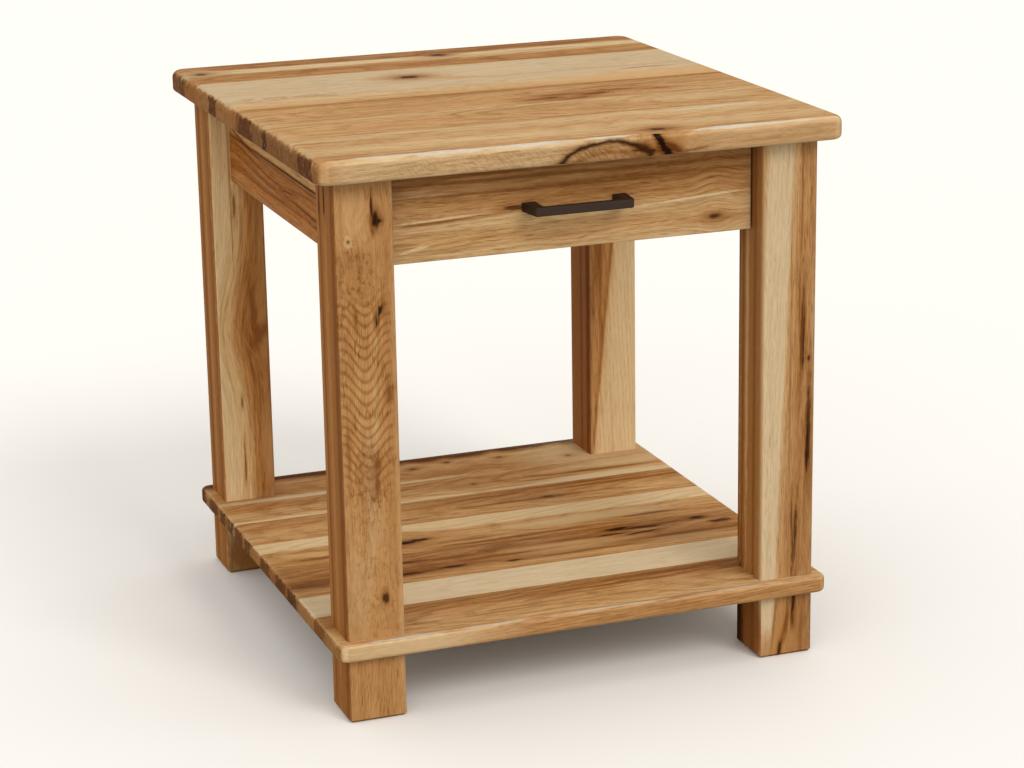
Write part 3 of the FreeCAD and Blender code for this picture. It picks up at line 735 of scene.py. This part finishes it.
timber(
    "top_board_1", top, seed=1.3, streaks=0.5,
    bands=(220, pale, 232, tan, 238, cream, 255, cream, 264, honey, 290, brown, 310, honey),
    ends=((215, 16, rust, 0.9), (246, 14, rust, 0.9), (275, 15, umber, 0.9), (292, 9, rust, 0.9)),
    knots=["+Z", (28, 256, 12, 9, 0.9), (-268, 246, 10, 8, 0.7)],
    marks=["+Z", (-150, 268, 90, 6, umber, 0.5), (120, 276, 110, 6, umber, 0.5), (-20, 262, 60, 4, umber, 0.6),
        (60, 240, 120, 2, honey, 0.5)])
timber(
    "top_board_2", top, seed=2.1, streaks=0.4,
    bands=(178, tan, 186, honey, 205, honey, 222, honey, 228, tan, 236, pale),
    ends=((206, 34, sienna, 0.85),))
timber(
    "top_board_3", top, seed=3.7, rings=0.15, broad=0.3, streaks=0.1, fibres=0.5, specks=0.05,
    bands=(80, pale, 110, top_pale, 172, top_pale, 190, pale),
    ends=((140, 60, sienna, 0.8), (100, 18, rust, 1)),
    knots=["+Z", (-52, 124, 13, 9, 1)],
    patches=["+Z", (-62, 128, 44, 14, honey, 0.6), (-12, 104, 40, 14, honey, 0.5, -0.4)],
    marks=["+Z", (20, 96, 26, 2, honey, 0.6, -0.3), (-110, 132, 30, 2, honey, 0.5)])
timber(
    "top_board_4", top, seed=4.9, rings=0.2, broad=0.3, streaks=0.15, fibres=0.5, specks=0.1,
    bands=(-5, tan, 10, tan, 34, pale, 60, top_pale, 95, top_pale),
    ends=((45, 60, sienna, 0.8),),
    burls=["+Z", (-205, 58, 80, 14, 0.6), (-60, 40, 90, 12, 0.3)],
    patches=["+Z", (230, 26, 150, 34, tan, 0.8)],
    marks=["+Z", (220, 71, 34, 4, brown, 0.8), (-230, 62, 18, 5, honey, 0.8), (-200, 58, 14, 5, honey, 0.8),
        (-172, 50, 16, 5, honey, 0.7), (-262, 63, 9, 5, honey, 0.8), (-140, 48, 12, 4, honey, 0.6)])
timber(
    "top_board_5", top, seed=5.2, rings=0.3, wander=13, wobble=1.6, waver=(14, 30, 30), streaks=0.2,
    bands=(-100, tan, -70, tan, -40, tan, -18, tan, -2, honey, 6, honey),
    ends=((-46, 56, umber, 0.8), (-34, 26, rust, 1)),
    burls=["+Z", (100, -66, 110, 26, 0.6)],
    patches=["+Z", (100, -66, 120, 28, honey, 0.85), (-120, -50, 120, 12, honey, 0.4)],
    marks=["+Z", (62, -56, 26, 6, umber, 0.8), (98, -66, 22, 6, umber, 0.85, 0.1),
        (30, -74, 18, 7, umber, 0.75), (130, -52, 26, 5, umber, 0.8, -0.12), (164, -50, 22, 4, brown, 0.9),
        (72, -82, 24, 6, umber, 0.75, 0.1), (112, -86, 20, 5, brown, 0.9), (180, -64, 22, 4, umber, 0.6),
        (8, -60, 16, 5, brown, 0.8), (50, -70, 10, 4, rust, 0.8), (104, -64, 12, 3, rust, 0.8),
        (140, -30, 40, 3, umber, 0.5, 0.05), (-60, -40, 70, 3, honey, 0.6), (-150, -70, 60, 3, honey, 0.6)])
timber(
    "top_board_6", top, seed=6.4, streaks=0.2, wander=13,
    bands=(-190, tan, -176, tan, -120, tan, -100, pale, -90, tan),
    ends=((-136, 60, chestnut, 0.85), (-112, 7, dusk, 0.9)),
    patches=["+Z", (-170, -152, 140, 14, honey, 0.5), (190, -130, 90, 20, pale, 0.6)],
    marks=["+Z", (-220, -168, 60, 3, brown, 0.6), (-100, -140, 60, 2, honey, 0.6),
        (60, -150, 80, 2, honey, 0.6)])
timber(
    "top_board_7", top, seed=7.8, pith=(10, -60), rings=0.25, fibres=0.6, streaks=0.2, wander=13,
    # The front edge face takes the paler front colour as painted light; the honey band from -301 darkens the
    # round-over where the key lamp lights it strongly, as painted shade.
    bands=(-310, front_painted_light, -304, front_painted_light, -301, honey, -292, tan, -262, pale, -230, tan, -205, pale,
        -192, pale, -180, tan),
    ends=((-205, 40, chestnut, 0.85), (-262, 26, rust, 1)),
    knots=["+Z", (82, -288, 13, 8, 0.9)],
    arcs=["-Y", (18, 577, 52, 27, 0.09, dusk, 1), (20, 571, 44, 22, 0.09, umber, 0.5)],
    rays=["-Y", (16, 586, 42, 17, 0.8), (-110, 594, 130, 12, 0.4)],
    patches=["-Y", (16, 588, 42, 13, honey, 0.7), (96, 596, 44, 16, honey, 0.6), (84, 596, 13, 12, sienna, 0.6),
        (-292, 597, 26, 30, honey, 0.7),
        "+Z", (-288, -292, 20, 16, honey, 0.6),
        "-Y", (190, 596, 160, 30, honey, 0.4)],
    # The whitish marks along -301 paint the highlight line on the front round-over.
    marks=["+Z", (-262, -212, 34, 4, brown, 0.85), (-150, -202, 34, 3, brown, 0.8),
        (-255, -286, 42, 4, brown, 0.7), (190, -194, 74, 4, painted_highlight, 0.7, 0.08), (230, -258, 40, 3, honey, 0.8),
        (-180, -240, 40, 2, honey, 0.7), (-150, -301, 60, 3, painted_highlight, 1), (-60, -301, 50, 3, painted_highlight, 1),
        (-220, -300, 40, 2.5, painted_highlight, 0.7), (170, -301, 60, 2.6, painted_highlight, 1), (240, -301, 30, 2.2, painted_highlight, 0.8),
        (20, -301, 30, 2.4, painted_highlight, 0.9),
        "-Y", (74, 605, 6, 7, black, 1, -1.5), (79, 598, 6, 8, black, 1, -1.4), (85, 589, 8, 6, black, 1, -0.6),
        (92, 592, 10, 4, rust, 0.9, -0.4), (62, 591, 16, 1.8, dusk, 0.9, -0.1),
        (56, 596, 12, 3, rust, 0.8, -0.3), (116, 588, 16, 1.6, umber, 0.6, 0.1),
        (210, 592, 50, 1.2, honey, 0.7)])

# Shelf, from the back board to the front one

timber(
    "shelf_board_1", shelf, seed=11.7, streaks=0.3,
    bands=(198, tan, 212, honey, 236, honey, 262, tan, 272, brown, 279, rust, 290, rust, 298, brown),
    ends=((280, 12, rust, 0.85), (230, 16, rust, 0.85)),
    knots=["+Z", (-20, 252, 6, 4, 0.8), (28, 262, 5, 4, 0.7), (95, 255, 7, 5, 0.5), (180, 228, 5, 4, 0.5)],
    patches=["+Z", (-190, 206, 130, 9, cream, 1), (-60, 204, 110, 6, cream, 0.9),
        (210, 236, 110, 54, pale, 0.8)])
timber(
    "shelf_board_2", shelf, seed=13.4, streaks=0.4,
    bands=(126, cream, 137, cream, 143, tan, 160, tan, 178, honey, 192, honey, 202, tan),
    ends=((186, 12, rust, 0.85), (150, 12, dusk, 0.7)),
    knots=["+Z", (30, 166, 5, 3, 0.6)],
    patches=["+Z", (200, 140, 110, 12, cream, 0.9), (250, 182, 110, 24, pale, 0.8)],
    marks=["+Z", (-90, 176, 60, 2.5, umber, 0.5), (190, 162, 80, 4, umber, 0.8, -0.02),
        (120, 152, 50, 2, umber, 0.6), (-150, 148, 90, 2, brown, 0.6)])
timber(
    "shelf_board_3", shelf, seed=15.1, streaks=0.4,
    bands=(48, honey, 70, tan, 88, tan, 104, honey, 120, honey, 132, honey),
    ends=((112, 14, rust, 0.85), (72, 12, rust, 0.85)),
    knots=["+Z", (98, 85, 11, 5, 0.9)],
    marks=["+Z", (60, 84, 90, 3, umber, 0.7), (-120, 70, 70, 3, umber, 0.6), (200, 110, 70, 3, umber, 0.7),
        (20, 112, 50, 3, umber, 0.6), (150, 122, 70, 2.5, umber, 0.9), (-60, 123, 90, 2.5, brown, 0.9)])
timber(
    "shelf_board_4", shelf, seed=16.8, streaks=0.3,
    bands=(-48, honey, -34, honey, -14, tan, 15, tan, 20, cream, 54, cream),
    ends=((37, 22, sienna, 0.8), (0, 18, rust, 0.85)),
    knots=["+Z", (-118, -8, 10, 6, 0.9), (-102, -5, 12, 4, 0.8)],
    patches=["+Z", (110, -4, 130, 16, pale, 0.8)],
    marks=["+Z", (-116, -8, 14, 4.5, black, 1), (-96, -4, 9, 3, black, 0.9), (-40, -24, 30, 3, umber, 0.5),
        (180, -20, 40, 3, dusk, 0.6), (40, -36, 60, 3, umber, 0.7), (-30, -38, 40, 2, umber, 0.7),
        (-200, -20, 60, 4, umber, 0.8), (10, 6, 80, 2, honey, 0.7)])
timber(
    "shelf_board_5", shelf, seed=18.5, streaks=0.7,
    bands=(-140, honey, -122, tan, -104, brown, -80, honey, -60, brown, -40, brown),
    ends=((-66, 18, rust, 0.85), (-115, 18, dusk, 0.75)),
    patches=["+Z", (-140, -96, 90, 24, umber, 0.3), (60, -90, 90, 26, tan, 0.6), (190, -110, 60, 10, tan, 0.6)],
    marks=["+Z", (128, -58, 16, 5, black, 0.9, 0.1), (160, -64, 26, 4, dusk, 0.9, -0.08),
        (112, -74, 20, 3, black, 0.8), (150, -80, 22, 3, dusk, 0.9, 0.1), (230, -56, 12, 5, black, 0.9),
        (250, -76, 18, 4, dusk, 0.9), (-14, -60, 18, 7, umber, 0.6), (-40, -66, 12, 4, umber, 0.7),
        (-90, -104, 16, 4, black, 0.8), (-150, -108, 30, 4, dusk, 0.9), (-30, -90, 60, 3, umber, 0.8),
        (60, -112, 60, 3, umber, 0.7), (-160, -72, 50, 4, dusk, 0.8), (-20, -112, 10, 3, dusk, 0.8),
        (200, -100, 60, 4, umber, 0.8), (-220, -96, 60, 14, umber, 0.8), (60, -70, 40, 5, umber, 0.7),
        (-80, -76, 30, 5, umber, 0.7)])
timber(
    # Its own tone lightens this pale board as painted light against the top's shade.
    "shelf_board_6", shelf, seed=20.2, tone=(1.12, 1.18, 1.28), rings=0.12, broad=0.2, streaks=0.1, fibres=0.5,
    specks=0.05,
    bands=(-205, pale, -190, cream, -150, cream, -130, cream),
    ends=((-167, 40, sienna, 0.8),))
timber(
    # Its tone lightens the board as painted light against the top's shade.
    "shelf_board_7", shelf, seed=21.9, streaks=0.4, tone=(1.13, 1.15, 1.14),
    bands=(-300, nosing, -292, nosing, -282, tan, -262, tan, -230, honey, -208, honey, -196, brown),
    ends=((-215, 12, umber, 0.8), (-262, 16, brown, 0.8)),
    # The pale patch on the left of the nosing is rubbed wear with painted light in it.
    patches=["-Y", (-210, 83, 120, 14, front_painted_light, 0.9)],
    # The whitish marks along -291 paint the highlight line on the nosing's round-over.
    marks=["+Z", (120, -214, 80, 3, umber, 0.8), (20, -236, 60, 3, brown, 0.8), (-60, -250, 60, 3, brown, 0.7),
        (220, -222, 50, 5, umber, 0.8), (200, -208, 70, 5, umber, 0.7), (60, -226, 80, 2, umber, 0.6),
        (180, -240, 60, 2, brown, 0.7), (-210, -291, 60, 3, painted_highlight, 0.95), (-110, -291, 50, 2.5, painted_highlight, 0.9),
        (20, -291.5, 80, 2, painted_highlight, 0.7), (180, -291.5, 60, 1.8, painted_highlight, 0.6),
        "-Y", (100, 84, 40, 2, brown, 0.7), (20, 80, 30, 1.5, brown, 0.6)])

# Legs; each foot continues the timber of its leg

timber(
    "leg_front_left", leg, seed=31, pith=(-8, 90), rings=0.1, streaks=0.2, wander=9, fibres=0.3, ripple=0.8,
    specks=0.1,
    bands=(-272, honey, -262, honey, -240, honey, -214, honey, -205, tan),
    knots=["-Y", (540, -225, 9, 4, 0.7)],
    waves=["-Y", (262, 462, -241, 27, 51, 22, 11.2, 0.85)],
    burls=["-Y", (478, -248, 50, 28, 0.8), (262, -242, 44, 26, 0.75), (410, -268, 60, 9, 0.6),
        (185, -238, 80, 28, 0.4), (120, -230, 30, 16, 0.4)],
    patches=["-Y", (545, -248, 34, 18, tan, 0.5), (500, -247, 15, 24, umber, 0.35),
        (474, -246, 24, 24, brown, 0.5), (521, -255.5, 7, 5, pale, 0.9), (270, -240, 50, 16, umber, 0.3),
        (150, -255, 70, 14, pale, 0.25), (150, -226, 90, 14, honey, 0.5),
        # The whole -X face takes a deeper, redder brown: the wood's colour with painted shade in it, on the
        # side away from the key lamp.
        "-X", (330, -250, 900, 60, sienna, 1)],
    marks=["-Y", (553, -230, 15, 1.5, dusk, 0.9), (542, -227.5, 9, 3.2, coal, 1, 0.1),
        (540, -223, 3.2, 4.4, coal, 1), (521, -255.5, 2.4, 1.8, umber, 0.9), (446, -225, 7, 3, coal, 1, 0.3),
        (436, -227.5, 9, 2.2, coal, 1), (358, -217, 8, 3, umber, 0.9), (440, -250, 9, 2.4, umber, 0.7),
        (285, -231, 8, 3, umber, 0.8), (262, -232, 12, 3, umber, 0.8), (136, -227, 7, 4, black, 0.8),
        (470, -227, 60, 1.2, brown, 0.7), (300, -262, 26, 2, umber, 0.5), (545, -262, 40, 2, brown, 0.5),
        (500, -216, 130, 1, brown, 0.5), (480, -211, 130, 1, brown, 0.4),
        "-X", (330, -251, 400, 7, copper, 0.8), (330, -277, 400, 4.5, umber, 0.9),
        (330, -235, 400, 1.6, umber, 0.8), (330, -227, 400, 3, copper, 0.7), (560, -251, 20, 3, black, 0.9),
        (552, -233, 16, 2.5, dusk, 0.8)])
timber(
    "leg_front_right", leg, seed=34, slant=0.038, wander=4, tone=(0.97, 0.98, 1.02), rings=0.15, streaks=0.3,
    pith=(60, 40), fibres=0.5,
    bands=(176, tan, 188, tan, 193, cream, 219, cream, 223, tan, 236, honey, 275, brown),
    # The -X faces of leg and foot take deeper, redder browns: the wood's colour with painted shade in it.
    patches=["-X", (330, -250, 900, 60, amber, 1), (330, -284, 900, 8, pale, 0.6),
        "-Y", (2, 222, 34, 36, fawn, 0.85), (36, 229, 44, 9, fawn, 0.9),
        "-X", (26, -252, 50, 60, russet, 1)],
    marks=["-Y", (374, 253, 54, 1.6, rust, 0.8, 0.03), (366, 255.5, 36, 1.5, dusk, 0.85, 0.03),
        (404, 250, 24, 1.2, umber, 0.7), (342, 262, 3, 1.6, dusk, 0.9), (262, 262.5, 58, 2.3, dusk, 0.85),
        (240, 260.5, 34, 1.6, black, 0.8), (140, 247, 42, 2.6, black, 0.75, 0.05),
        (160, 243, 26, 1.2, dusk, 0.7), (500, 252, 60, 1, umber, 0.5), (330, 246, 240, 1.2, brown, 0.6),
        (330, 240, 200, 1, umber, 0.3), (64, 246.5, 20, 2.7, black, 0.85, 0.05), (43, 246, 9, 1.7, rust, 0.8),
        (39, 238, 13, 1.8, umber, 0.95, 0.1), (9, 230.5, 13, 2.6, dusk, 0.9, 0.15),
        (26, 234, 12, 1.2, umber, 0.5, 0.2), (36, 265, 24, 1.8, brown, 0.8, 0.25), (30, 256, 30, 2, umber, 0.4),
        (40, 223, 34, 1.4, umber, 0.5, 0.1),
        "-X", (20, -228, 90, 8, black, 0.85), (370, -243, 275, 4.5, tan, 0.8),
        (330, -233, 400, 2.2, umber, 0.6), (330, -262, 400, 3, umber, 0.5),
        "+Y", (330, 207, 400, 4, dusk, 0.9),
        "-X", (420, -222, 200, 2.2, black, 0.85), (200, -222, 80, 1.8, dusk, 0.8)])
timber(
    # Its tone lightens the leg as painted light against the shade of the top over the back legs.
    "leg_back_left", leg, seed=37, wander=6, tone=(1.18, 1.15, 1.08), rings=0.3, pith=(50, 30), broad=0.3,
    bands=(-272, tan, -267, cream, -252, cream, -248, pale, -238, pale, -231, honey, -224, brown, -212, brown,
        -205, honey),
    swirls=["-Y", (305, -212, 80, 22)],
    patches=["-Y", (330, -212, 90, 12, brown, 0.7), (160, -212, 60, 12, honey, 0.6),
        # The whole -X face takes a deeper, redder brown: the wood's colour with painted shade in it.
        "-X", (330, 250, 900, 60, sienna, 1),
        "-Y", (22, -240, 50, 60, bark, 0.95), (30, -222, 60, 16, mocha, 0.8)],
    marks=["-Y", (480, -247, 120, 1.5, brown, 0.7), (455, -243, 16, 2, umber, 0.8),
        (330, -226, 34, 3, umber, 0.7, -0.1), (296, -218, 14, 6, umber, 0.8, 0.6),
        (290, -236, 30, 2, brown, 0.7, -0.5), (138, -243, 24, 1.3, umber, 0.8), (215, -244, 7, 1.3, umber, 0.8),
        "-X", (330, 264, 400, 3, umber, 0.7), (330, 250, 400, 7, copper, 0.8), (330, 228, 400, 4, umber, 0.5)])
timber(
    # Its tone lightens the leg as painted light against the shade of the top over the back legs.
    "leg_back_right", leg, seed=40, slant=0.105, wander=4, tone=(1.1, 1.05, 0.98), rings=0.25, broad=0.3,
    pith=(-60, 40),
    bands=(150, honey, 180, brown, 194, honey, 199, brown, 202, pale, 212, cream, 250, cream),
    # The whole -X face takes a deeper, redder brown: the wood's colour with painted shade in it.
    patches=["-X", (330, 240, 900, 60, auburn, 1)],
    marks=["-X", (330, 225, 300, 4, rust, 0.8), (330, 246, 300, 3, rust, 0.5),
        "-Y", (420, 216, 60, 2, umber, 0.7), (330, 222, 60, 1.6, umber, 0.5)])

# Aprons, drawer front and the frame inside

timber(
    "side_apron_left", apron, seed=50, pith=(-60, 30), lean=(0, 0.03), rings=0.25, ring=6,
    wander=7, ripple=0.8, wobble=1.4, waver=(9, 30, 30), tone=(1.18, 1.15, 1.08), streaks=0.1,
    bands=(480, sienna, 498, copper, 508, sienna, 518, copper, 529, copper, 539, brown, 545, tan, 558, tan,
        590, honey),
    marks=["-X", (-40, 541, 230, 1.3, rust, 0.95, 0.004), (-60, 540.4, 150, 0.7, dusk, 0.8, 0.004),
        (178, 546, 46, 1.3, rust, 0.9, 0.12), (-80, 536, 150, 0.8, rust, 0.6, 0.01),
        (120, 538, 60, 0.9, rust, 0.6, 0.08), (120, 529, 90, 1, rust, 0.7, 0.1),
        (20, 522, 50, 1, rust, 0.6, 0.05), (-60, 527, 60, 0.9, umber, 0.7, -0.05),
        (-180, 526, 50, 1, umber, 0.7, 0.03), (-90, 512, 50, 1.4, rust, 0.7, 0.04),
        (90, 516, 60, 1.2, umber, 0.8, 0.06), (-180, 516, 26, 1.6, rust, 0.8, 0.1),
        (-150, 503, 30, 1.6, rust, 0.7), (40, 504, 60, 1.2, umber, 0.7), (-30, 521, 30, 1.2, rust, 0.6, -0.1)])
timber(
    "side_apron_right", apron, seed=53, pith=(60, 10), rings=0.5,
    bands=(480, tan, 520, honey, 560, brown, 590, honey))
timber(
    "back_apron", across="Z", seed=56, pith=(60, 10), rings=0.5,
    bands=(480, honey, 520, tan, 560, pale, 590, tan))
timber(
    "drawer_front", across="Z", seed=61, pith=(70, 40), rings=0.35, wander=6,
    # The upper bands are made lighter: painted light that eases the shadow the top casts on the drawer front.
    bands=(480, pale, 505, tan, 524, pale, 528, tan, 545, honey, 562, honey, 590, tan),
    knots=["-Y", (161, 504, 9, 3.5, 0.8)],
    marks=["-Y", (140, 527, 66, 1.6, cream, 0.9, 0.06), (-150, 526, 44, 1.6, umber, 0.8, 0.04),
        (-150, 529, 50, 1.4, cream, 0.8, 0.04), (-66, 534, 16, 3, dusk, 0.8), (0, 566, 260, 1.8, umber, 0.6),
        (-60, 553, 160, 1.4, umber, 0.6), (120, 556, 120, 1.4, umber, 0.5), (-120, 573, 120, 2, umber, 0.6),
        (-176, 500, 20, 2, cream, 0.7, 0.2)])
timber("front_rail", seed=64, pith=(30, -40), bands=(-240, tan, -150, pale))
timber("slide_cleat_left", apron, seed=66, pith=(40, 40), bands=(480, pale, 590, tan))
timber("slide_cleat_right", apron, seed=68, pith=(40, 40), bands=(480, tan, 590, pale))

# Drawer box of pale maple, its panel, and beech dowels

for number, node in enumerate(("box_front", "back", "side_left", "side_right")):
    low, high = ((maple, maple_deep), (maple_deep, maple))[number % 2]
    timber(f"drawer_{node}", box, grain="XXYY"[number], across="Z", seed=81 + 3 * number, pith=(60, 40),
           bands=(490, low, 560, high))
timber("drawer_bottom", box, seed=93, rings=0.3, ring=7, bands=(-250, birch, 0, maple, 200, birch))
timber("corner_dowels", box, grain="Z", across="X", seed=96, bands=(-300, beech, 300, beech))


# Metal

metal_mottle = 120  # scale of the mottled plating
scratch_scale = 30  # scale along the scratches
metal_shade = (0.6, 0.6, 0.6, 1.0)
mottle_dark = 0.5
scratch_dark = 0.3
scratch_depth = 0.05


def metal(name, shade, roughness, spread, brushed, metallic=1.0, gloss=0.5):
    """Metal with fine scratches along Y, a mottled plating and small changes of gloss."""
    material, tree = new_material(name)
    point = tree.point(*tree.coordinates())
    mottle = tree.noise(point, (metal_mottle, metal_mottle, metal_mottle), 0.0, 3.0)
    scratch = tree.noise(point, (brushed, scratch_scale, brushed))
    colour = tree.stain(shade, mottle * mottle_dark + scratch * scratch_dark, metal_shade)
    rough = mottle * spread + scratch * spread + roughness
    tree.surface(colour, rough, scratch, scratch_depth * mm, Metallic=metallic, Specular_IOR_Level=gloss)
    return material


zinc = metal("zinc_plate", tint("c4c6c8"), 0.22, 0.12, 2600)
steel = metal("bearing_steel", tint("d6d7d9"), 0.10, 0.05, 400)
screw_metal = metal("screw_steel", tint("b9babc"), 0.26, 0.14, 900)
bronze = metal("dark_bronze", tint("2f1e13"), 0.45, 0.14, 700, metallic=0.0, gloss=0.25)

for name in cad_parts:
    if name.startswith("slide_") and not name.startswith("slide_cleat") or "cage" in name:
        dress(name, zinc)
    if "balls" in name:
        dress(name, steel)
    if "screws" in name or name in ("leg_bolts", "leg_bolt_washers", "top_plates"):
        dress(name, screw_metal)
dress("drawer_pull", bronze)


# Studio

floor_half = 14.0
floor_shade = tint("aaa8a2")
floor_bright = tint("edebe8")
sky_bright = tint("fbf9f4")
sky_light = 1.0
world_light = 0.93
world_shade = (1.0, 0.98, 0.94, 1.0)
sun_colour = (1.0, 0.985, 0.955)
suns = {
    # name: direction it comes from, width in radians, power
    "key": ((0.35, -1.0, 0.90), 0.45, 1.15),
    "fill": ((-0.60, -1.0, 0.3), 1.0, 0.85),
}


def plain_shader(tree, kind, shade, strength=None):
    """A shader of one plain colour."""
    shader = tree.add(kind)
    tree.put(shader, "Color", shade)
    if strength is not None:
        tree.put(shader, "Strength", strength)
    return shader.outputs[0]


def end_seen(tree, kind, first, second):
    """Ends a tree with a shader that lights the scene, and one for the camera and reflections."""
    path = tree.add("ShaderNodeLightPath")
    share = path.outputs["Is Camera Ray"]
    for name in ("Is Glossy Ray", "Is Transmission Ray"):
        share = tree.math("MAXIMUM", share, path.outputs[name])
    blend = tree.add("ShaderNodeMixShader")
    for slot, source in enumerate((share, first, second)):
        tree.put(blend, slot, source)
    tree.put(tree.add(kind), 0, blend.outputs[0])


def make_floor():
    """Wide pale floor that takes the table's shadow."""
    mesh = bpy.data.meshes.new("floor")
    corners = [(x * floor_half, y * floor_half, 0) for x, y in ((-1, -1), (1, -1), (1, 1), (-1, 1))]
    mesh.from_pydata(corners, [], [(0, 1, 2, 3)])
    floor = bpy.data.objects.new("floor", mesh)
    bpy.context.scene.collection.objects.link(floor)
    material, tree = new_material("floor_paint")
    end_seen(tree, "ShaderNodeOutputMaterial",
             plain_shader(tree, "ShaderNodeBsdfDiffuse", floor_shade),
             plain_shader(tree, "ShaderNodeBsdfDiffuse", floor_bright))
    floor.data.materials.append(material)


def make_world():
    """Soft light from all round, and a white background for the camera and for reflections."""
    world = bpy.data.worlds.new("studio")
    bpy.context.scene.world = world
    world.use_nodes = True
    tree = Tree(world.node_tree)
    end_seen(tree, "ShaderNodeOutputWorld",
             plain_shader(tree, "ShaderNodeBackground", world_shade, world_light),
             plain_shader(tree, "ShaderNodeBackground", sky_bright, sky_light))


def make_sun(name, came_from, width, power):
    data = bpy.data.lights.new(name, "SUN")
    data.energy = power
    data.angle = width
    data.color = sun_colour
    lamp = bpy.data.objects.new(name, data)
    lamp.rotation_mode = "QUATERNION"
    lamp.rotation_quaternion = Vector(came_from).to_track_quat("Z", "Y")
    bpy.context.scene.collection.objects.link(lamp)


make_floor()
make_world()
for name, (came_from, width, power) in suns.items():
    make_sun(name, came_from, width, power)

bpy.context.scene.view_settings.view_transform = "Standard"
